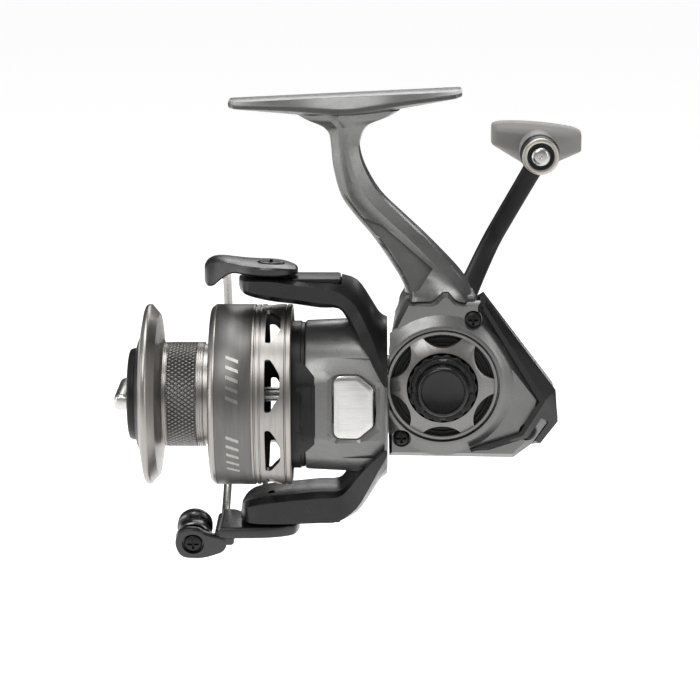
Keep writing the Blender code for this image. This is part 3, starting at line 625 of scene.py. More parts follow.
FACE = [
    (-13.5, -12.4), (19.2, -12.8), (22.4, -9.6), (24.4, -4.4), (25.4, 2.2), (9.6, 22.7),
    (9.4, 28.1), (4.2, 27.9), (2.9, 28.6), (1.3, 30.4), (0.3, 30.4), (-1.4, 28.6), (-2.9, 27.9),
    (-9.2, 28.1), (-11.9, 22.6), (-13.5, 12.8),
]


def shell_rows(levels):
    """Rows of a gearbox outline, each at a Y level and moved inwards by its own amount."""
    return [
        [Vector((x, y, z)) for x, z in moved_in(outline, amount)] for y, outline, amount in levels
    ]


def cavity_space():
    """Hollow for the gears, following the taper of the shell."""
    return loft(shell_rows([
        (SEAM_Y - 1.0, CAVITY, 0), (2.0, CAVITY, 0), (FAR - 2.0, CAVITY_FAR, 0),
    ]))


STEM = [
    # front x, rear x, z at the front, z at the rear, half width, front crease, rear crease
    (-12.0, 8.4, 22.0, 21.6, 13.2, -0.80, 0.80), (-11.4, 8.4, 26.4, 26.0, 14.2, -0.78, 0.80),
    (-10.0, 8.2, 29.6, 29.2, 14.2, -0.74, 0.76),
    (-11.0, 6.0, 33.2, 33.4, 11.6, -0.68, 0.62), (-14.4, 1.6, 38.6, 38.6, 8.8, -0.66, 0.48),
    (-18.9, -4.6, 45.0, 45.0, 7.0, -0.62, 0.36), (-23.4, -10.2, 50.3, 50.3, 6.1, -0.60, 0.26),
    (-27.4, -16.4, 56.0, 56.4, 5.6, -0.58, 0.2), (-29.4, -20.6, 63.3, 63.3, 5.3, -0.46, 0.22),
    (-30.0, -22.3, 69.0, 69.0, 5.2, -0.42, 0.2), (-30.5, -21.6, 72.3, 72.8, 5.4, -0.42, 0.14),
    (-31.7, -20.3, 74.1, 74.8, 5.7, -0.4, 0.1), (-33.4, -18.6, 75.2, 75.9, 6.1, -0.4, 0.0),
    (-36.9, -14.6, 76.6, 77.4, 6.7, -0.38, -0.04), (-40.0, -11.6, 78.3, 79.2, 7.0, -0.36, -0.04),
]


def stem():
    """Curved stem with a crease along each side and a shallow hollow between them."""
    rows = []
    for front, rear, low, high, half, first, second in refine(STEM, 5):
        middle, reach = (front + rear) / 2, (rear - front) / 2
        hollow = (first + second) / 2
        side = [
            (-1.0, 0.38), (-0.94, 0.66), (first - 0.06, 0.97), (first, 1.0), (first + 0.1, 0.96),
            (hollow, 0.9), (second - 0.1, 0.97), (second, 1.0), (0.9, 0.72), (0.98, 0.55),
            (1.0, 0.38),
        ]
        ring = side + [(a, -b) for a, b in reversed(side)]
        rows.append([
            Vector((middle + a * reach, -b * half, low + (high - low) * (a + 1) / 2))
            for a, b in ring
        ])
    return loft(rows)


FOOT_END = [
    # along the foot, half width, drop of the shoulder, lip thickness, depth of the rib under it
    (-31.3, 5.4, 0.15, 0.8, 1.3), (-31.1, 6.7, 0.2, 0.95, 1.5), (-30.3, 7.6, 0.25, 1.1, 1.7),
    (-28.8, 8.2, 0.4, 1.25, 2.0), (-23.0, 8.3, 0.75, 1.4, 2.8), (-15.0, 8.3, 1.3, 1.6, 3.8),
    (-8.0, 8.3, 2.1, 1.7, 4.8), (0.0, 8.3, 2.8, 1.8, 5.6),
]
FLAT_SHARE = 0.62


def foot():
    """Flat seat between two sloping shoulders, with a lip along each edge and a rib below."""
    rows = []
    for along, width, drop, lip, depth in refine(both_ways(FOOT_END), 4):
        flat = width * FLAT_SHARE
        side = [
            (0.0, 0.0), (flat, 0.0), (flat + 0.35, -0.1), (width - 0.5, -drop),
            (width - 0.12, -drop - 0.1), (width, -drop - 0.35), (width, -drop - lip + 0.2),
            (width - 0.3, -drop - lip), (width * 0.85, -drop - lip - 0.1), (width * 0.66, -depth),
            (0.0, -depth),
        ]
        ring = [(-a, b) for a, b in side] + [(a, b) for a, b in reversed(side[1:-1])]
        rows.append([Vector((along, a, b)) for a, b in ring])
    bm = loft(rows)
    spin = Matrix.Rotation(-FOOT_TILT, 4, "Y")
    bmesh.ops.transform(bm, matrix=Matrix.Translation(FOOT_CENTRE) @ spin, verts=bm.verts)
    return bm


def stem_pocket(side):
    """Sunken facet beside the stem's front edge, deepest along its upper line."""
    line = [
        # x, z, depth of the floor from the middle of the reel
        (-23.4, 51.4, 5.0), (-16.2, 48.3, 5.1), (-2.6, 37.0, 7.6), (-6.2, 31.8, 9.8),
        (-9.9, 31.2, 12.9), (-12.0, 36.2, 9.9), (-17.6, 44.4, 7.0),
    ]
    return loft([
        [Vector((x, side * 20.0, z)) for x, z, _ in line],
        [Vector((x, side * floor, z)) for x, z, floor in line],
    ])


NOSE_FRONT, NOSE_R = -26.0, 10.8
BOSS_FACE = FAR + 2.4


def make_body():
    shell = loft(shell_rows([
        (SEAM_Y, GEARBOX, 0), (TAPER_Y, GEARBOX, 0), (FAR - 3.4, GEARBOX_FAR, 0),
        (FAR - 2.2, GEARBOX_FAR, 0.35), (FAR, GEARBOX_FAR, 2.4),
    ]))
    far_boss = lathe(
        [(FAR - 2.0, 0), (FAR - 2.0, 12.2), (FAR - 0.2, 11.6), (FAR + 0.4, 10.2), (FAR + 0.6, 9.5),
         (BOSS_FACE - 0.3, 9.3), (BOSS_FACE, 8.9), (BOSS_FACE, 0)], "Y", CRANK_AXIS,
    )
    nose = lathe([
        (NOSE_FRONT, 0), (NOSE_FRONT, NOSE_R - 0.3), (NOSE_FRONT + 0.3, NOSE_R), (-11.5, NOSE_R),
        (-11.5, 0),
    ])
    piece(
        "housing_shell", shell, GUNMETAL, "carrier", ["body_housing"],
        steps=add([nose, far_boss]) + cut([
            cavity_space(), disc(NOSE_FRONT - 0.5, -15.7, 9.0), disc(-16.2, -9.0, 6.0),
            disc(FAR - 2.5, BOSS_FACE + 0.6, 6.05, "Y", CRANK_AXIS),
            disc(-16.0, -11.0, 1.2, "Z", LEVER_AXIS, SMALL),
            prism(moved_in(PLATE, -0.25), -20.0, SEAM_Y),
        ]), bevel=0.35,
    )
    piece(
        "housing_stem", stem(), GUNMETAL, "carrier",
        steps=cut([
            stem_pocket(-1), stem_pocket(1), prism(moved_in(PLATE, -0.22), -20.0, -9.0),
            cavity_space(),
        ]), bevel=0.3,
    )
    piece("housing_foot", foot(), FOOT_PAINT_PAINTED_SHADE, "carrier", sharp=40)


SCREWS = {"top": (8.2, 24.4), "front": (-10.9, -8.4), "rear": (23.4, -6.6)}
HEAD = 2.2


def screw_holes(low, high, radius):
    return [disc(low, high, radius, "Y", Vector((x, 0, z)), SMALL) for x, z in SCREWS.values()]


def make_side_plate():
    rows = [
        [Vector((x, y, z)) for x, z in outline] for y, outline in (
            (NEAR, FACE), (NEAR + 2.0, PLATE), (SEAM_Y - 0.3, PLATE),
        )
    ]
    boss = lathe(
        [(NEAR - 1.9, 15.5), (NEAR - 1.9, 16.2), (NEAR - 1.75, 16.6), (NEAR - 0.9, 17.6),
         (NEAR - 0.2, 18.9), (NEAR + 0.4, 19.8), (NEAR + 1.4, 19.8), (NEAR + 1.4, 15.5)],
        "Y", CRANK_AXIS, ring=True,
    )
    piece(
        "plate_shell", loft(rows), GUNMETAL, "carrier", ["side_plate"],
        steps=cut([
            disc(NEAR - 2.0, NEAR + 0.3, 15.55, "Y", CRANK_AXIS, FINE),
            prism(CAVITY, NEAR + 2.0, SEAM_Y), *screw_holes(NEAR - 3.0, NEAR + 1.5, HEAD + 0.3),
        ]), bevel=0.3,
    )
    piece(
        "plate_boss", boss, GUNMETAL, "carrier",
        steps=cut([
            box((-30.0, -30.0, -30.0), (BODY_FRONT, 0.0, 40.0)),
            prism([(-30, -13.9), (-30, -40), (60, -40), (60, -13.9)], -30.0, 0.0),
            *screw_holes(NEAR - 4.0, NEAR + 2.5, HEAD + 0.45),
        ]), sharp=50,
    )
    for label in ("top", "front"):
        x, z = SCREWS[label]
        centre = Vector((x, 0, z))
        head = lathe(
            [(NEAR - 0.5, 0), (NEAR - 0.5, 1.3), (NEAR - 0.35, 1.7), (NEAR - 0.05, 2.05),
             (NEAR + 0.4, HEAD), (NEAR + 1.3, HEAD), (NEAR + 1.3, 1.05), (-8.2, 1.05), (-8.2, 0)],
            "Y", centre, SMALL,
        )
        piece(
            f"plate_screw_head_{label}", head, SATIN_BLACK, "carrier", [f"side_plate_screw_{label}"],
            steps=cut(cross_recess(x, z, NEAR - 1.0, NEAR + 0.6, 1.35, 0.32)), sharp=28,
        )


def cross_recess(x, z, low, high, arm, half):
    return [
        box((x - arm, low, z - half), (x + arm, high, z + half)),
        box((x - half, low, z - arm), (x + half, high, z + arm)),
    ]


RING_R = (9.6, 14.2, 15.1)


def make_trim():
    inner, outer, rim = RING_R
    floor_y = NEAR - 0.15
    floor = lathe(
        [(floor_y + 0.3, 0), (floor_y + 0.3, rim), (floor_y, rim), (floor_y, 13.4),
         (floor_y - 0.5, 13.2), (floor_y - 0.5, 12.8), (floor_y, 12.6), (floor_y, 12.0),
         (floor_y - 0.8, 11.8), (floor_y - 0.8, 11.3), (floor_y, 11.1), (floor_y, 0)],
        "Y", CRANK_AXIS,
    )
    piece("trim_floor", floor, DEEP_BLACK, "carrier", sharp=30)
    star = lathe(
        [(floor_y, inner), (floor_y, outer + 0.3), (NEAR - 1.15, outer + 0.3), (NEAR - 1.5, outer),
         (NEAR - 3.7, inner + 0.4), (NEAR - 3.8, inner)], "Y", CRANK_AXIS, ring=True,
    )
    scallops = [
        disc(NEAR - 5.0, floor_y + 1.0, 7.2, "Y",
             CRANK_AXIS + Vector((18.0 * math.cos(a), 0, 18.0 * math.sin(a))), ROUND)
        for a in (math.radians(90 + 60 * k) for k in range(6))
    ]
    piece("trim_star", star, TRIM, "carrier", ["side_trim_ring"], steps=cut(scallops), bevel=0.28)
    rim_ring = lathe(
        [(floor_y, outer - 0.2), (floor_y, rim), (NEAR - 1.3, rim), (NEAR - 1.55, rim - 0.25),
         (NEAR - 1.55, outer), (NEAR - 1.35, outer - 0.2)], "Y", CRANK_AXIS, ring=True,
    )
    piece("trim_rim", rim_ring, TRIM, "carrier", sharp=40)


def arc_pad(inner, outer, low, high, start, end, steps=10):
    """Slab between two radii and two angles about the drive axis."""
    angles = [math.radians(start + (end - start) * k / steps) for k in range(steps + 1)]
    outline = [(outer * math.cos(a), outer * math.sin(a)) for a in angles]
    outline += [(inner * math.cos(a), inner * math.sin(a)) for a in reversed(angles)]
    return prism(rounded(outline, 0.5, 3), low, high, "Y", CRANK_AXIS)


CAP_FOOT, CAP_SHOULDER, CAP_TOP = NEAR - 0.1, NEAR - 5.0, NEAR - 9.3


def make_cap():
    skirt = []
    for k, a in enumerate(full_turn(72)):
        radius = 9.25 if k % 4 < 2 else 8.85
        skirt.append((radius * math.cos(a), radius * math.sin(a)))
    piece(
        "cap_serrations", pillow(skirt, CAP_SHOULDER, CAP_FOOT, 0.25, "Y", CRANK_AXIS), SATIN_BLACK,
        "carrier", ["side_cap"], sharp=30,
    )
    crown = lathe(
        [(CAP_FOOT, 0), (CAP_FOOT, 8.0), (CAP_SHOULDER, 8.6), (CAP_SHOULDER - 0.6, 8.4),
         (CAP_SHOULDER - 1.0, 8.0), (CAP_SHOULDER - 1.0, 7.2), (CAP_TOP + 1.0, 6.95),
         (CAP_TOP + 0.3, 6.6), (CAP_TOP, 6.15), (CAP_TOP, 5.9), (CAP_TOP + 0.6, 5.6),
         (CAP_TOP + 1.1, 4.0), (CAP_TOP + 1.3, 2.0), (CAP_TOP + 1.35, 0)],
        "Y", CRANK_AXIS,
    )
    piece("cap_crown", crown, GLOSS_BLACK, "carrier", sharp=38)
    for k in range(8):
        pad = arc_pad(7.35, 8.35, NEAR - 6.55, NEAR - 5.5, 45 * k + 6, 45 * k + 39)
        piece(f"cap_pad_{k}", pad, SATIN_BLACK, "carrier", sharp=30, bevel=0.12)


COVER_IN = [(10.6, 27.6), (26.2, 2.2), (20.9, -6.8), (7.6, -11.2)]
COVER_IN_FAR = [(9.4, 23.0), (25.0, -0.4), (20.2, -7.4), (7.6, -11.2)]
COVER_EDGE = [(8.0, -11.9), (21.9, -7.3), (27.4, 1.7), (27.7, 2.7), (11.2, 28.7)]
COVER_MIDDLE = [(8.2, -12.2), (27.7, -11.6), (32.3, -5.3), (31.0, 2.9), (11.6, 28.4)]
COVER_SHOULDER = [(8.2, -12.2), (27.0, -10.8), (31.6, -4.7), (30.9, 4.2), (11.6, 29.6)]
COVER_SHOULDER_FAR = [(8.2, -12.2), (26.2, -11.2), (30.6, -6.0), (29.6, 0.6), (10.4, 25.6)]
COVER_EDGE_FAR = [(8.0, -11.9), (21.2, -8.2), (26.6, -1.2), (26.6, 0.0), (9.8, 23.8)]
COVER_Y, SHOULDER_Y, MIDDLE_Y = 16.9, 11.5, 3.0
COVER_SCREW = Vector((23.6, 0.0, -4.4))


def make_rear_cover():
    space = loft(shell_rows([
        (NEAR - 0.3, GEARBOX, 1.5), (NEAR + 1.5, GEARBOX, -0.2), (TAPER_Y, GEARBOX, -0.2),
        (FAR - 3.4, GEARBOX_FAR, -0.2), (FAR - 1.5, GEARBOX_FAR, 0.8), (FAR + 0.3, GEARBOX_FAR, 2.1),
    ]))
    levels = (
        (-COVER_Y, COVER_IN, COVER_EDGE), (-SHOULDER_Y, COVER_IN, COVER_SHOULDER),
        (-MIDDLE_Y, COVER_IN, COVER_MIDDLE), (MIDDLE_Y, COVER_IN, COVER_MIDDLE),
        (SHOULDER_Y, COVER_IN_FAR, COVER_SHOULDER_FAR), (COVER_Y, COVER_IN_FAR, COVER_EDGE_FAR),
    )
    body = loft([[Vector((x, y, z)) for x, z in inner + outer] for y, inner, outer in levels])
    piece("cover_shell", body, GLOSS_BLACK, "carrier", ["rear_cover"], steps=cut([space]), bevel=0.25)
    head = lathe(
        [(COVER_Y + 1.4, 0), (COVER_Y + 1.4, 1.4), (COVER_Y + 1.1, 1.9), (COVER_Y + 0.3, 2.2),
         (COVER_Y + 0.3, 1.0), (FAR + 0.5, 1.0), (FAR + 0.5, 0)], "Y", COVER_SCREW, SMALL,
    )
    x, z = COVER_SCREW.x, COVER_SCREW.z
    piece("cover_screw_head", head, SATIN_BLACK, "carrier", ["rear_cover_screw"],
          steps=cut(cross_recess(x, z, COVER_Y + 0.6, COVER_Y + 2.0, 1.2, 0.28)), sharp=28)


def make_switch():
    plan = rounded([(-12.0, -1.9), (-5.4, -1.5), (-3.7, 0.0), (-5.4, 1.5), (-12.0, 1.9)], 1.2)
    piece(
        "reverse_switch", pillow(plan, -15.9, -14.6, 0.3), PEWTER, "anti_reverse",
        ["anti_reverse_lever"], LEVER_AXIS, sharp=40,
    )
    grip = pillow(rounded([(-6.2, -1.2), (-4.1, -1.0), (-4.1, 1.0), (-6.2, 1.2)], 0.5), -17.0, -15.6, 0.35)
    piece("reverse_switch_grip", grip, PEWTER, "anti_reverse", pivot=LEVER_AXIS, sharp=40)


# --- crank and knob

ARM_Y = 48.6
PIN_END = 72.5


def squared(value):
    """Pushes a sine or cosine outwards, which turns a round section into one nearer a rectangle."""
    return math.copysign(abs(value) ** 0.6, value)


def make_handle():
    direction = (KNOB_AXIS - CRANK_AXIS).normalized()
    length = (KNOB_AXIS - CRANK_AXIS).length
    side = Vector((direction.z, 0, -direction.x))
    stations = [
        # distance along the arm, middle y, half width, half thickness
        (0.0, 24.0, 4.6, 3.2), (5.0, 25.6, 4.2, 3.0), (12.0, 31.5, 3.5, 2.4), (20.0, 38.6, 3.0, 2.0),
        (27.0, 44.6, 2.8, 1.8), (32.5, 47.9, 2.7, 1.7), (38.0, ARM_Y, 2.7, 1.7),
        (55.0, ARM_Y, 2.8, 1.7), (length, ARM_Y, 3.4, 1.8),
    ]
    rows = []
    for along, y, half, thick in refine(stations, 6):
        middle = CRANK_AXIS + direction * along + Vector((0, y, 0))
        rows.append([
            middle + side * squared(math.cos(a)) * half + Vector((0, squared(math.sin(a)) * thick, 0))
            for a in full_turn(24)
        ])
    boss = lathe(
        [(ARM_Y - 1.9, 0), (ARM_Y - 1.9, 5.1), (ARM_Y - 1.6, 5.4), (ARM_Y + 2.1, 5.5),
         (ARM_Y + 2.4, 5.1), (ARM_Y + 2.4, 0)], "Y", KNOB_AXIS, ROUND,
    )
    root = lathe(
        [(20.7, 0), (20.7, 5.8), (21.1, 6.2), (26.6, 6.2), (27.7, 5.5), (28.2, 4.0), (28.2, 0)],
        "Y", CRANK_AXIS, ROUND,
    )
    piece(
        "crank_arm", loft(rows), SATIN_BLACK, "crank", ["handle_arm"], CRANK_AXIS,
        steps=add([boss, root]) + cut([
            disc(19.0, 22.6, 3.6, "Y", CRANK_AXIS), disc(ARM_Y - 3, ARM_Y + 3, 2.1, "Y", KNOB_AXIS),
            lathe([(ARM_Y - 3, 3.7), (ARM_Y - 1.5, 3.4), (ARM_Y - 1.5, 0), (ARM_Y - 3, 0)], "Y",
                  KNOB_AXIS, ROUND),
        ]), sharp=38,
    )
    face = lathe(
        [(ARM_Y - 1.8, 3.9), (ARM_Y - 2.1, 4.0), (ARM_Y - 2.2, 4.3), (ARM_Y - 2.2, 4.9),
         (ARM_Y - 2.0, 5.25), (ARM_Y - 1.8, 5.35)], "Y", KNOB_AXIS, ROUND, ring=True,
    )
    piece("crank_boss_face", face, PEWTER, "crank", pivot=CRANK_AXIS, sharp=40)
    hub = lathe(
        [(17.9, 3.6), (17.9, 6.4), (18.2, 6.8), (19.0, 7.2), (19.5, 7.2), (19.6, 6.9), (19.9, 6.9),
         (20.0, 7.2), (20.4, 7.0), (20.4, 3.6)], "Y", CRANK_AXIS, ROUND, ring=True,
    )
    piece("crank_hub", hub, SATIN_BLACK, "crank", ["handle_hub"], CRANK_AXIS, sharp=30)
    pin = lathe(
        [(ARM_Y - 3.05, 0), (ARM_Y - 3.1, 1.6), (ARM_Y - 2.9, 2.2), (ARM_Y - 2.5, 2.6),
         (ARM_Y - 2.4, 2.0), (PIN_END, 2.0), (PIN_END, 0)], "Y", KNOB_AXIS, ROUND,
    )
    dimple = lathe([(ARM_Y - 3.4, 0.9), (ARM_Y - 2.5, 0)], "Y", KNOB_AXIS, SMALL)
    piece("knob_rivet", pin, STEEL, "crank", ["knob_pin"], KNOB_AXIS, steps=cut([dimple]), sharp=30)
    collar = washer(ARM_Y + 2.6, ARM_Y + 4.2, 2.2, 5.7, "Y", KNOB_AXIS)
    piece("knob_collar", collar, SATIN_BLACK, "crank", ["knob_boss_ring"], KNOB_AXIS, sharp=30)


KNOB_Y, KNOB_INNER = 70.0, ARM_Y + 4.5
KNOB_TILT, KNOB_CREASE = math.tan(math.radians(4.7)), 4.0
KNOB_BAR = [
    # along the bar, half width, crown, keel
    (-13.3, 3.2, 4.8, -0.3), (-13.0, 4.2, 5.5, -0.8), (-11.6, 5.2, 6.1, -1.6), (-9.0, 5.8, 6.5, -3.0),
    (-4.5, 6.3, 6.8, -5.4), (0.0, 6.4, 6.9, -7.5),
]


def make_knob():
    rows = []
    for along, width, top, bottom in refine(both_ways(KNOB_BAR), 4):
        shoulder = KNOB_CREASE + (top - KNOB_CREASE) * 0.5
        side = [
            (1.0, KNOB_CREASE - 0.5), (0.97, KNOB_CREASE), (0.85, shoulder), (0.6, top - 0.35),
            (0.3, top),
        ]
        lower = [(0.3, bottom), (0.55, bottom * 0.9), (0.8, bottom * 0.55), (0.95, bottom * 0.2)]
        ring = side + [(-a, b) for a, b in reversed(side)] + [(-a, b) for a, b in reversed(lower)] + lower
        rows.append([
            KNOB_AXIS + Vector((along, KNOB_Y + a * width, b - along * KNOB_TILT)) for a, b in ring
        ])
    grip = piece("knob_grip", loft(rows), SOFT_GREY, "knob", ["handle_knob"], KNOB_AXIS, sharp=60)
    grip.modifiers.new("soft", "SUBSURF").levels = 1
    neck = lathe(
        [(KNOB_INNER, 2.3), (KNOB_INNER, 5.3), (KNOB_INNER + 0.4, 5.7), (KNOB_INNER + 1.2, 5.7),
         (KNOB_INNER + 1.5, 5.3), (KNOB_INNER + 4, 5.0), (61.5, 5.0), (64.5, 5.4), (70.0, 5.4),
         (70.0, 2.3)], "Y", KNOB_AXIS, ROUND, ring=True,
    )
    piece("knob_neck", neck, SOFT_GREY, "knob", pivot=KNOB_AXIS, sharp=35)
    cap = lathe([(73.0, 0), (73.0, 3.1), (75.9, 3.1), (76.2, 2.7), (76.3, 0)], "Y", KNOB_AXIS, SMALL)
    piece("knob_plug", cap, SATIN_BLACK, "knob", ["knob_end_cap"], KNOB_AXIS, sharp=30)


# --- rotor

CUP = [
    (-37.2, 19.9), (-36.9, 20.4), (-36.5, 20.55), (-15.9, 21.5), (-15.4, 21.55), (-15.3, 21.75),
    (-14.8, 21.75), (-14.6, 21.5), (-14.6, 19.4), (-15.0, 18.3), (-33.0, 17.8), (-34.6, 16.4),
    (-34.6, 6.0), (-28.2, 6.0), (-28.2, 3.15), (-37.2, 3.15),
]
FLAT_Y, FLAT_HALF, WEDGE_Z = 19.2, 8.2, 13.6


def side_flat(side):
    """Flat on the cup's side, with a sloping facet above and below it that starts at a slant."""
    rear, outer = -15.5, 30.0 * side
    low, high = sorted((side * FLAT_Y, outer))
    solids = [box((-37.6, low, -FLAT_HALF - 0.6), (rear, high, FLAT_HALF + 0.6))]
    for up in (1, -1):
        solids.append(loft([
            [
                Vector((start, side * y, up * z)), Vector((start, outer, up * z)),
                Vector((rear, outer, up * z)), Vector((rear, side * (y - 0.5), up * z)),
            ]
            for start, z, y in ((-36.2, WEDGE_Z + 0.3, 15.9), (-28.0, FLAT_HALF, FLAT_Y + 0.1))
        ]))
    return solids


BADGE_PLAN = [
    (-29.3, 7.6), (-28.2, 8.9), (-22.6, 9.0), (-18.4, 5.4), (-18.4, -5.4), (-22.6, -9.0),
    (-28.2, -8.9), (-29.3, -7.6),
]
BADGE_Z = 0.9


def badge_solid(side, levels):
    """Solid of the badge's outline, grown by its own amount at each distance from the axis."""
    rows = []
    for y, grow in levels:
        outline = [(x, z * 0.98 + BADGE_Z) for x, z in moved_in(BADGE_PLAN, -grow)]
        rows.append([Vector((x, side * y, z)) for x, z in rounded(outline, 0.8, 3)])
    return loft(rows)


def badge_recess(side):
    """Recess with sloping walls for the badge."""
    return badge_solid(side, (
        (23.0, 1.9), (FLAT_Y + 0.1, 1.9), (FLAT_Y - 1.3, 0.25), (FLAT_Y - 1.7, 0.25),
    ))


BEAM_PLAN = [
    # x, half width at the inner edge and half width above its chamfer
    (-53.6, 4.6, 6.2), (-51.0, 6.4, 7.8), (-46.0, 6.8, 8.3), (-40.0, 6.8, 8.3), (-33.0, 6.9, 8.4),
    (-28.0, 7.2, 8.8),
]


def beam(heights):
    """Straight part of an arm; each row of heights holds inner edge, chamfer, ridge and crown."""
    return [
        (x, narrow, inner, x, wide, chamfer, x, wide, ridge, x, crown)
        for (x, narrow, wide), (inner, chamfer, ridge, crown) in zip(BEAM_PLAN, heights)
    ]


# A row of a rail holds x, y and z of the inner edge, of the chamfer and of the ridge on one side,
# and then x and z of the crown.
UPPER_RAIL = [
    (-55.0, 1.5, 30.0, -55.2, 2.4, 31.5, -55.2, 2.4, 32.9, -55.2, 33.3),
    *beam([
        (29.2, 30.6, 33.0, 33.5), (28.6, 29.9, 33.2, 33.5), (27.6, 29.2, 33.2, 33.5),
        (26.9, 28.4, 32.3, 33.6), (25.9, 27.4, 31.3, 33.8), (25.7, 26.7, 30.5, 34.0),
    ]),
    (-25.6, 8.6, 22.9, -25.0, 10.2, 23.6, -23.4, 10.6, 27.0, -23.0, 32.4),
    (-22.4, 12.6, 18.0, -21.9, 14.2, 18.2, -19.6, 14.6, 20.4, -19.4, 27.4),
    (-19.2, 16.0, 12.2, -18.8, 17.6, 12.4, -16.9, 18.2, 13.9, -16.8, 22.8),
    (-16.6, 18.6, 8.0, -16.4, 19.8, 8.2, -15.0, 20.2, 9.0, -15.0, 21.6),
    (-15.4, 19.2, 6.6, -15.3, 20.6, 6.8, -14.8, 20.8, 7.2, -14.8, 21.5),
]
LOWER_RAIL = [
    (-55.0, 1.5, 31.0, -55.2, 2.4, 32.6, -55.2, 2.4, 34.9, -55.2, 35.3),
    *beam([
        (29.4, 31.0, 35.0, 35.6), (28.2, 29.8, 35.0, 35.7), (27.2, 28.9, 35.0, 35.7),
        (26.6, 28.2, 34.9, 35.7), (25.9, 27.6, 34.6, 35.7), (25.7, 27.0, 34.0, 35.6),
    ]),
    (-25.6, 8.6, 23.4, -25.0, 10.2, 24.0, -23.0, 10.6, 29.6, -23.0, 33.6),
    (-22.4, 12.2, 18.6, -21.9, 13.8, 19.0, -19.4, 14.4, 22.4, -19.4, 28.4),
    (-19.2, 15.2, 14.6, -18.8, 16.8, 15.0, -16.9, 17.4, 16.8, -16.8, 23.4),
    (-16.6, 17.0, 11.8, -16.4, 18.4, 12.2, -15.0, 18.8, 13.0, -15.0, 21.7),
    (-15.4, 17.6, 11.0, -15.3, 18.8, 11.2, -14.8, 19.0, 11.6, -14.8, 21.5),
]


def rotor_arm(rail, flip):
    """Arm with a chamfered lower edge, which splits at the heel into a leg down each side of the cup."""
    rows = []
    for values in refine(rail, 3):
        inner, chamfer, ridge = (Vector(values[k:k + 3]) for k in (0, 3, 6))
        crown = Vector((values[9], 0.0, values[10]))
        hollow = Vector((inner.x, 0.0, math.hypot(inner.y, inner.z)))
        side = [swung(hollow, inner, 0.5), inner, chamfer, ridge]
        side += [swung(crown, ridge, share) for share in (0.75, 0.5, 0.25)]
        ring = [Vector((p.x, -p.y, p.z * flip)) for p in [hollow] + side]
        ring += [Vector((p.x, p.y, p.z * flip)) for p in [crown] + side[::-1]]
        rows.append(ring)
    return loft(rows)


def swung(middle, edge, share):
    """Point part of the way round from a middle point to an edge point, about the X axis."""
    radius = middle.z + (math.hypot(edge.y, edge.z) - middle.z) * share
    angle = math.atan2(edge.y, edge.z) * share
    return Vector((
        middle.x + (edge.x - middle.x) * share, radius * math.sin(angle), radius * math.cos(angle),
    ))


ARMS = {
    # rail, direction, pocket floor, cover from and to, screw shank from and to, screw head from
    "upper": (UPPER_RAIL, 1, 28.5, (32.1, 33.4), (29.2, 36.6), 36.1),
    "lower": (LOWER_RAIL, -1, 29.6, (34.0, 35.5), (30.4, 38.4), 37.9),
}


def make_rotor():
    piece(
        "rotor_cup", lathe(CUP, ring=True), GUNMETAL, "rotor", ["rotor"],
        steps=cut(side_flat(-1) + side_flat(1) + [badge_recess(-1), badge_recess(1)] + [
            box((-17.4, -30.0, 9.6), (-14.0, 0.0, 30.0)), box((-17.4, -0.1, 4.0), (-14.0, 30.0, 30.0)),
        ]), bevel=0.22, sharp=24,
    )
    for label, (rail, flip, floor, lid_z, shank_z, head_z) in ARMS.items():
        low, high = sorted((floor * flip, 37.0 * flip))
        hole = disc(*sorted((28.0 * flip, 37.0 * flip)), 1.45, "Z", BAIL_AXIS, SMALL)
        piece(
            f"rotor_arm_shell_{label}", rotor_arm(rail, flip), ARM_PAINT_DARK_REFLECTION, "rotor",
            steps=cut([box((-41.2, -5.4, low), (-27.2, 5.4, high)), hole]), bevel=0.22, sharp=20,
        )
        lid = rounded([(-40.9, -5.1), (-27.5, -5.1), (-27.5, 5.1), (-40.9, 5.1)], 1.2)
        low, high = sorted(level * flip for level in lid_z)
        piece(
            f"arm_lid_{label}", pillow(lid, low, high, 0.35), SATIN_BLACK, "rotor",
            [f"rotor_arm_cover_{label}"], sharp=40,
        )
        make_pivot_screw(label, flip, shank_z, head_z)
    bm = lathe(
        [(-41.6, 8.0), (-41.6, 19.6), (-41.4, 20.1), (-41.1, 20.35), (-38.3, 20.35), (-38.1, 20.0),
         (-37.3, 20.0), (-37.3, 8.0)], ring=True,
    )
    piece("front_ring", bm, SATIN_BLACK, "rotor", ["rotor_front_ring"], sharp=30)
    for label, side in (("near", -1), ("far", 1)):
        make_side_panel(label, side)
        make_badge(label, side, ["badge_plate"] if side < 0 else [])


def make_pivot_screw(label, flip, shank_z, head_z):
    rise = [(0.0, 0), (0.0, 3.2), (0.3, 3.4), (0.95, 3.4), (1.25, 3.0), (1.3, 0)]
    head = lathe([((head_z + z) * flip, r) for z, r in rise], "Z", BAIL_AXIS, ROUND)
    low, high = sorted(((head_z + 0.7) * flip, (head_z + 2.0) * flip))
    slot = [
        box((BAIL_X - a, -b, low), (BAIL_X + a, b, high)) for a, b in ((2.5, 0.45), (0.45, 2.5))
    ]
    shank = disc(*sorted(level * flip for level in shank_z), 1.35, "Z", BAIL_AXIS, SMALL)
    piece(
        f"pivot_screw_{label}", head, SATIN_BLACK, "rotor", [f"bail_pivot_screw_{label}"], BAIL_AXIS,
        steps=add([shank]) + cut(slot), sharp=30,
    )


PANEL_R, PANEL_FLAT, PANEL_FLOOR = 20.75, 19.55, 17.4


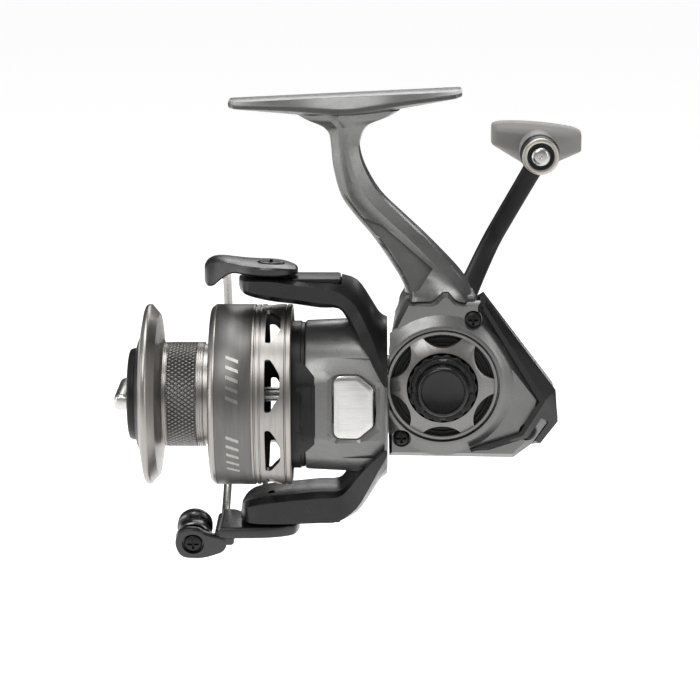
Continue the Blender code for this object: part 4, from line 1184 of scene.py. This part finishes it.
def curved_panel(side, reach, front, lift, rear_at):
    """Patch round the side of the cup; rear_at gives its rear edge at an angle."""
    rows = []
    for k in range(41):
        a = reach * (k / 20 - 1)
        radius = min(PANEL_R, PANEL_FLAT / math.cos(math.radians(a))) + lift
        rear = rear_at(abs(a))
        rows.append([polar(x, r, -side * 90 + a) for x, r in (
            (front, PANEL_FLOOR), (front, radius), (rear - 0.3, radius), (rear, radius - 0.3),
            (rear, PANEL_FLOOR),
        )])
    return loft(rows)


def make_side_panel(label, side):
    """Black panel that runs from the front ring onto the cup's flat, with a step on it."""
    def panel_rear(a):
        return -34.2 if a < 27 else -34.2 - 3.2 * (a - 27) / 11

    def step_rear(a):
        return -35.1 if a < 20 else -35.1 - 2.4 * (a - 20) / 2.5

    for part, reach, front, lift, rear_at in (
        ("panel", 38.0, -39.4, 0.0, panel_rear), ("step", 22.5, -37.6, 0.35, step_rear),
    ):
        patch = curved_panel(side, reach, front, lift, rear_at)
        piece(f"front_{part}_{label}", patch, SATIN_BLACK, "rotor", sharp=30)


def make_badge(label, side, nodes):
    """Cushioned plate with cut corners."""
    plate = badge_solid(side, (
        (FLAT_Y - 2.0, 0.0), (FLAT_Y - 1.1, 0.0), (FLAT_Y - 0.8, -0.15), (FLAT_Y - 0.6, -0.5),
        (FLAT_Y - 0.45, -1.1), (FLAT_Y - 0.4, -1.5),
    ))
    piece(f"badge_{label}", plate, BADGE, "rotor", nodes, sharp=30)


# --- bail

WIRE_X = -60.5


def make_bail():
    lever = [
        # along x, middle y, half width, bottom z, top z
        (-39.2, 0.2, 2.0, 34.2, 35.4), (-39.8, 0.2, 3.6, 34.1, 36.0), (-41.4, 0.0, 5.4, 34.1, 36.5),
        (-44.0, -0.1, 6.9, 34.1, 37.0), (-46.8, 0.0, 7.3, 34.1, 37.2), (-50.0, 0.6, 7.2, 34.1, 37.2),
        (-53.6, 2.2, 6.7, 34.1, 37.2), (-57.0, 4.2, 6.0, 34.0, 37.3), (-60.0, 6.2, 5.6, 32.1, 37.3),
        (-62.4, 7.6, 5.0, 29.8, 37.0), (-64.2, 8.4, 4.0, 29.3, 36.1), (-65.1, 8.6, 2.4, 30.2, 35.0),
    ]
    rows = []
    for x, middle, half, low, high in refine(lever, 5):
        crown = min(0.9, (high - low) * 0.3)
        side = [
            (half * 0.55, low), (half - 0.35, low + 0.25), (half, low + 0.7), (half, high - crown),
            (half - 0.35, high - crown * 0.4), (half * 0.6, high - 0.05), (0.0, high),
        ]
        ring = side + [(-a, b) for a, b in reversed(side[:-1])]
        rows.append([Vector((x, middle + a, b)) for a, b in ring])
    wire_seat = disc(10.0, 14.5, 1.3, "Y", Vector((WIRE_X, 0, 31.5)), SMALL)
    piece(
        "bail_lever_shell", loft(rows), BAIL_PAINT_DARK_REFLECTION, "bail", ["bail_lever"], BAIL_AXIS,
        steps=cut([
            disc(33.0, 38.0, 1.75, "Z", BAIL_AXIS, SMALL), disc(35.8, 38.2, 3.75, "Z", BAIL_AXIS, ROUND),
            wire_seat,
        ]), bevel=0.2, sharp=30,
    )
    wire = [(WIRE_X, y, z) for y, z in refine([
        (10.3, 31.5), (17.0, 31.6), (26.0, 30.3), (33.8, 25.6), (40.4, 14.0), (44.6, 1.0),
        (42.4, -12.0), (36.0, -24.0), (27.0, -32.4), (17.0, -37.4), (9.6, -39.4),
    ], 8)]
    piece("bail_arch", tube(wire, 1.2), WIRE_STEEL, "bail", ["bail_wire"], BAIL_AXIS, sharp=60)


ROLLER_AT = at_joint("line_roller_spin")
ROLLER_TILT = Matrix.Rotation(math.radians(13.5), 4, "X")


def on_roller(bm):
    bmesh.ops.transform(bm, matrix=Matrix.Translation(ROLLER_AT) @ ROLLER_TILT, verts=bm.verts)
    return bm


def make_roller_arm():
    comma = rounded([
        (-3.6, 4.6), (-5.3, 0.0), (-3.6, -4.6), (2.6, -4.9), (9.0, -2.6), (9.6, 1.6), (3.6, 3.0),
        (1.6, 4.7),
    ], 2.4)
    plan = refine([(-39.0, 0), (-40.6, -4.8), (-46.5, -7.5), (-54.0, -8.3), (-61.0, -8.3)], 8)
    plan += refine([
        (-61.0, 10.6), (-57.4, 10.6), (-54.0, 7.6), (-46.5, 7.5), (-40.6, 4.8), (-39.0, 0),
    ], 8)[:-1]
    piece(
        "roller_arm_floor", pillow(plan, -39.4, -36.1, 0.7, low_edge=1.0), BAIL_PAINT_DARK_REFLECTION, "bail",
        ["roller_arm"], BAIL_AXIS,
        steps=cut([
            disc(-41, -35, 1.75, "Z", BAIL_AXIS, SMALL), disc(-42, -37.6, 3.8, "Z", BAIL_AXIS, ROUND),
        ]), sharp=35,
    )
    block = rounded([(-62.4, -7.9), (-57.0, -7.9), (-57.0, 10.6), (-62.4, 10.6)], 1.4)
    piece(
        "roller_arm_block", pillow(block, -41.4, -37.2, 0.8), BAIL_PAINT_DARK_REFLECTION, "bail", pivot=BAIL_AXIS,
        sharp=35,
    )
    cheek = on_roller(pillow(comma, 0.0, 2.4, 0.6, "Y"))
    piece(
        "roller_cheek", cheek, BAIL_PAINT_DARK_REFLECTION, "bail", pivot=BAIL_AXIS,
        steps=cut([
            on_roller(disc(-1.0, 1.3, 3.1, "Y", ORIGIN, ROUND)),
            on_roller(disc(0, 4, 1.45, "Y", ORIGIN, SMALL)),
        ]), sharp=35,
    )
    screw = on_roller(lathe(
        [(-0.1, 0), (-0.1, 1.3), (0.05, 1.9), (0.35, 2.35), (0.6, 2.5), (1.1, 2.5), (1.1, 1.25),
         (11.2, 1.25), (11.2, 0)], "Y", ORIGIN, ROUND,
    ))
    piece(
        "roller_screw_head", screw, SATIN_BLACK, "bail", ["roller_screw"], BAIL_AXIS,
        steps=cut([on_roller(bar) for bar in cross_recess(0, 0, -1, 0.7, 1.6, 0.32)]), sharp=30,
    )
    cap = on_roller(lathe(
        [(10.3, 1.4), (10.3, 4.4), (10.6, 4.9), (11.4, 4.9), (12.0, 4.2), (12.2, 3.0), (12.2, 1.4)],
        "Y", ORIGIN, ROUND, ring=True,
    ))
    piece("roller_end_cap", cap, BAIL_PAINT_DARK_REFLECTION, "bail", ["roller_cap"], BAIL_AXIS, sharp=40)
    roller = [(3.0, 3.0), (3.0, 4.7), (3.3, 5.0), (3.8, 4.95), (4.4, 4.45), (5.2, 4.15), (6.6, 4.05),
              (8.0, 4.15), (8.7, 4.5), (9.2, 4.95), (9.7, 5.0), (10.0, 4.7), (10.0, 3.0)]
    made = on_roller(lathe(roller, "Y", ORIGIN, ROUND, ring=True))
    piece("roller_sleeve", made, DARK_STEEL, "line_roller", ["line_roller"], ROLLER_AT, sharp=35)


# --- spool and drag knob

LIP_FRONT = span("spool")[0].x
R_RIM = span("spool")[1].y
WINDOWS, WINDOW_FIRST, WINDOW_SPAN, WINDOW_BACK = 8, 26.0, 33.4, 13.0
BAND = (-61.3, -51.3)


def windows():
    """Cutters for the windows round the skirt, narrower towards the rear."""
    corners = [
        (-47.7, -WINDOW_SPAN / 2), (-47.7, WINDOW_SPAN / 2), (-46.2, WINDOW_SPAN / 2),
        (-43.6, WINDOW_BACK / 2), (-43.6, -WINDOW_BACK / 2), (-46.2, -WINDOW_SPAN / 2),
    ]
    arc = 180 / (math.pi * R_RIM)
    plan = rounded([(x, a / arc) for x, a in corners], 0.8, 5)
    return [
        loft([[polar(x, radius, middle + a * arc) for x, a in plan] for radius in (21.0, 27.0)])
        for middle in (WINDOW_FIRST + 360 / WINDOWS * k for k in range(WINDOWS))
    ]


def make_spool():
    front = [
        (-69.5, 12.6), (-80.3, 12.6), (-80.3, 17.7), (-80.6, 17.95), (LIP_FRONT + 0.3, 18.2),
        (LIP_FRONT, 18.6), (LIP_FRONT + 0.1, 19.2), (LIP_FRONT + 0.75, 22.6), (-81.2, 23.9),
        (-80.9, 24.55), (-80.4, R_RIM - 0.05), (-79.9, R_RIM), (-79.5, 24.75), (-79.2, 24.4),
        (-78.6, 23.7), (-77.4, 22.3), (-76.9, 19.0), (-76.5, 15.4), (-76.2, 14.7),
    ]
    arbor = grooves(-75.9, -74.9, 2, 14.35, 0.3)
    arbor += [(-74.85, 14.1), (-66.75, 14.1)]
    arbor += grooves(-66.6, -64.9, 3, 14.45, 0.3)
    arbor += [(-64.8, 13.9), (-63.6, 13.9), (-63.1, 14.3), (-63.0, 15.0)]
    back = [
        (-63.0, 23.6), (-62.8, 24.0), (-61.7, 24.85), (-61.45, R_RIM), (-61.3, R_RIM), (-61.25, 24.6),
        (-51.35, 24.6), (-51.3, R_RIM), (-50.8, R_RIM), (-50.6, 24.5), (-50.35, 24.5),
        (-50.2, R_RIM - 0.1), (-49.4, R_RIM - 0.1), (-49.3, 24.45), (-49.05, 24.45), (-48.9, R_RIM),
        (-42.6, R_RIM), (-42.4, 24.5), (-42.2, 24.5), (-42.0, R_RIM), (-41.0, R_RIM), (-40.7, 24.6),
        (-40.7, 23.8), (-61.0, 23.7), (-61.4, 12.6), (-67.5, 12.6), (-67.5, 6.0), (-58.2, 6.0),
        (-58.2, 2.6), (-69.5, 2.6),
    ]
    piece(
        "spool_turned", lathe(front + arbor + back, ring=True), SPOOL_METAL, "spool", ["spool"],
        steps=cut(windows()), sharp=30,
    )
    knurl = lathe([(-74.85, 13.9), (-74.7, 14.4), (-66.9, 14.4), (-66.75, 13.9)])
    piece("spool_knurl", knurl, KNURL, "spool", sharp=40)
    low, high = BAND
    band = lathe(
        [(low + 0.05, 24.5), (low + 0.05, R_RIM - 0.1), (low + 0.15, R_RIM - 0.02),
         (high - 0.15, R_RIM - 0.02), (high - 0.05, R_RIM - 0.1), (high - 0.05, 24.5)], ring=True,
    )
    piece("spool_band", band, BAND_METAL, "spool", sharp=40)
    # Black sheet laid on the skirt's inner wall and cut with the same windows: painted shade inside the
    # skirt.
    skirt_shade_sheet = lathe(
        [(-60.9, 23.65), (-60.9, 23.45), (-40.9, 23.45), (-40.9, 23.75), (-60.9, 23.7)], ring=True,
    )
    piece("spool_painted_shade_sheet", skirt_shade_sheet, DEEP_BLACK, "spool", steps=cut(windows()), sharp=40)
    # Black disc laid on the skirt's inner end wall: painted shade inside the skirt.
    bore = lathe([(-60.6, 2.8), (-60.6, 23.4), (-60.9, 23.4), (-60.9, 2.8)], ring=True)
    piece("spool_floor_painted_shade", bore, DEEP_BLACK, "spool", sharp=40)
    make_band_marks()


def make_band_marks():
    """Plain row of slanted bars round the skirt, in two groups."""
    x0, x1 = BAND[0] + 3.2, BAND[1] - 3.4
    pitch, slant, width, skin = 6.4, 3.2, 2.2, R_RIM + 0.015
    for label, middle in (("near", 90.0), ("far", 270.0)):
        bm = bmesh.new()
        for k in range(-6, 7):
            if k in (-1, 0, 1):
                continue
            start = middle + k * pitch
            rows = []
            for j in range(7):
                t = j / 6
                x = x0 + (x1 - x0) * t
                rows.append([
                    bm.verts.new(polar(x, skin, start + slant * t + width * s)) for s in (0, 0.5, 1)
                ])
            for lower, upper in zip(rows, rows[1:]):
                for s in (0, 1):
                    bm.faces.new((lower[s], lower[s + 1], upper[s + 1], upper[s]))
        bmesh.ops.recalc_face_normals(bm, faces=bm.faces)
        piece(f"band_marks_{label}", bm, SPOOL_METAL, "spool", sharp=60)


def make_drag_knob():
    dome = [
        (-80.9, 0), (-80.9, 17.2), (-81.2, 17.5), (-81.6, 17.55), (-82.2, 17.0), (-82.8, 15.9),
        (-83.3, 14.6), (-83.7, 13.2), (-83.9, 12.75), (-85.1, 12.5), (-85.5, 12.2), (-85.7, 11.6),
        (-85.7, 0),
    ]
    piece(
        "drag_dome", lathe(dome), SATIN_BLACK, "drag", ["drag_knob"],
        steps=cut([disc(-84.9, -80.0, 2.3), box((-86.5, -11.2, -2.0), (-84.7, 11.2, 2.0))]), bevel=0.2,
    )
    bar = [
        # x, half length, half thickness
        (-89.2, 9.4, 1.2), (-89.05, 10.0, 1.7), (-88.6, 10.4, 2.1), (-87.8, 10.7, 2.3),
        (-86.8, 10.8, 2.15), (-85.9, 10.8, 1.8), (-85.2, 10.8, 1.7),
    ]
    rows = []
    for x, half, thick in bar:
        edge = [(half * a, thick * b) for a, b in (
            (0.0, 1.0), (0.8, 1.0), (0.93, 0.92), (0.985, 0.7), (1.0, 0.3),
        )]
        quarters = edge + [(a, -b) for a, b in reversed(edge)]
        ring = quarters[:-1] + [(-a, b) for a, b in reversed(quarters[1:])]
        rows.append([Vector((x, a, b)) for a, b in ring])
    piece("drag_bar", loft(rows), BADGE, "drag", ["drag_knob_bar"], sharp=40)


# --- carried-over parts

def finish_kept_nodes():
    """The working parts inside keep their CAD shape and get a procedural finish."""
    for made in frame["nodes"].values():
        for k, material in enumerate(made.data.materials):
            name = material.name.split(".")[0] if material else "steel"
            made.data.materials[k] = KEPT.get(name, STEEL)


# --- stage, light and camera

CAMERA_AIM = Vector((-24.98, 0.0, 12.53))
CAMERA_DISTANCE, CAMERA_LENS, SENSOR = 700.0, 130.9, 36.0
AZIMUTH, ELEVATION = math.radians(0.5), math.radians(13.0)


def make_camera():
    data = bpy.data.cameras.new("camera")
    data.lens, data.sensor_width = CAMERA_LENS, SENSOR
    data.clip_start, data.clip_end = 0.02, 50.0
    camera = bpy.data.objects.new("camera", data)
    bpy.context.collection.objects.link(camera)
    back = Vector((
        math.sin(AZIMUTH) * math.cos(ELEVATION), -math.cos(AZIMUTH) * math.cos(ELEVATION),
        math.sin(ELEVATION),
    ))
    camera.location = to_row(CAMERA_AIM) + back * CAMERA_DISTANCE * MM
    camera.rotation_mode = "QUATERNION"
    camera.rotation_quaternion = (-back).to_track_quat("-Z", "Y")
    bpy.context.scene.camera = camera


def set_on_stage(name, bm, at, finish):
    mesh = bpy.data.meshes.new(name)
    bm.to_mesh(mesh)
    bm.free()
    mesh.materials.append(finish.material)
    made = bpy.data.objects.new(name, mesh)
    made.location = at
    bpy.context.collection.objects.link(made)
    return made


FLOOR_RADIUS, FLOOR_DROP, FLOOR_GLOW = 9.0, 0.11, 0.62


def make_floor():
    bm = bmesh.new()
    bmesh.ops.create_circle(bm, cap_ends=True, segments=96, radius=FLOOR_RADIUS)
    f = Finish("floor_white", "none", (0.86, 0.86, 0.86), 0.85, 0.0)
    f.tint(f.noise(3.0, 2.0), 0.995, 1.0)
    f.shader.inputs["Emission Color"].default_value = (1.0, 1.0, 1.0, 1.0)
    f.shader.inputs["Emission Strength"].default_value = FLOOR_GLOW
    set_on_stage("floor", bm, (0.0, 0.0, cad_box[0].z - FLOOR_DROP), f)


CARDS = [
    # name, centre, width, height, grey
    ("card_behind", (0.0, 1.1, 0.15), 3.2, 1.9, 0.06),
    ("card_front", (0.1, -1.3, 0.25), 1.5, 0.5, 0.3),
]


def make_cards():
    """Upright dark cards that only reflections see, as flags round a product table."""
    for name, centre, width, height, grey in CARDS:
        bm = bmesh.new()
        bmesh.ops.create_grid(bm, x_segments=1, y_segments=1, size=0.5)
        for vert in bm.verts:
            vert.co = (vert.co.x * width, 0.0, vert.co.y * height)
        f = Finish(name, "none", (grey, grey, grey), 1.0, 0.0)
        f.tint(f.noise(2.0, 2.0), 0.95, 1.05)
        card = set_on_stage(name, bm, centre, f)
        for ray in ("camera", "diffuse", "shadow", "transmission"):
            setattr(card, f"visible_{ray}", False)


LIGHTS = [
    # name, place round the reel in millimetres, width, height, watts
    ("key", (-260.0, -520.0, 620.0), 420.0, 420.0, 3.0),
    ("top", (40.0, 60.0, 760.0), 620.0, 420.0, 4.2),
    ("left", (-720.0, -160.0, 160.0), 260.0, 620.0, 1.3),
    ("right", (640.0, -420.0, 240.0), 220.0, 520.0, 1.2),
    ("back", (160.0, 700.0, 380.0), 600.0, 300.0, 1.6),
]


SKY_STRENGTH = 0.4


def make_lights():
    for name, at, width, height, watts in LIGHTS:
        data = bpy.data.lights.new(name, "AREA")
        data.shape = "RECTANGLE"
        data.size, data.size_y = width * MM, height * MM
        data.energy = watts
        light = bpy.data.objects.new(name, data)
        light.location = to_row(Vector(at) + CAMERA_AIM)
        light.rotation_mode = "QUATERNION"
        light.rotation_quaternion = (-Vector(at)).to_track_quat("-Z", "Y")
        bpy.context.collection.objects.link(light)
    world = bpy.data.worlds.new("studio")
    bpy.context.scene.world = world
    world.use_nodes = True
    sky = world.node_tree.nodes["Background"].inputs
    sky["Color"].default_value = (1.0, 1.0, 1.0, 1.0)
    sky["Strength"].default_value = SKY_STRENGTH
    bpy.context.scene.view_settings.view_transform = "Standard"


# --- assembly

make_camera()
make_lights()
make_floor()
make_cards()
finish_kept_nodes()
make_body()
make_side_plate()
make_trim()
make_cap()
make_rear_cover()
make_switch()
make_handle()
make_knob()
make_rotor()
make_bail()
make_roller_arm()
make_spool()
make_drag_knob()
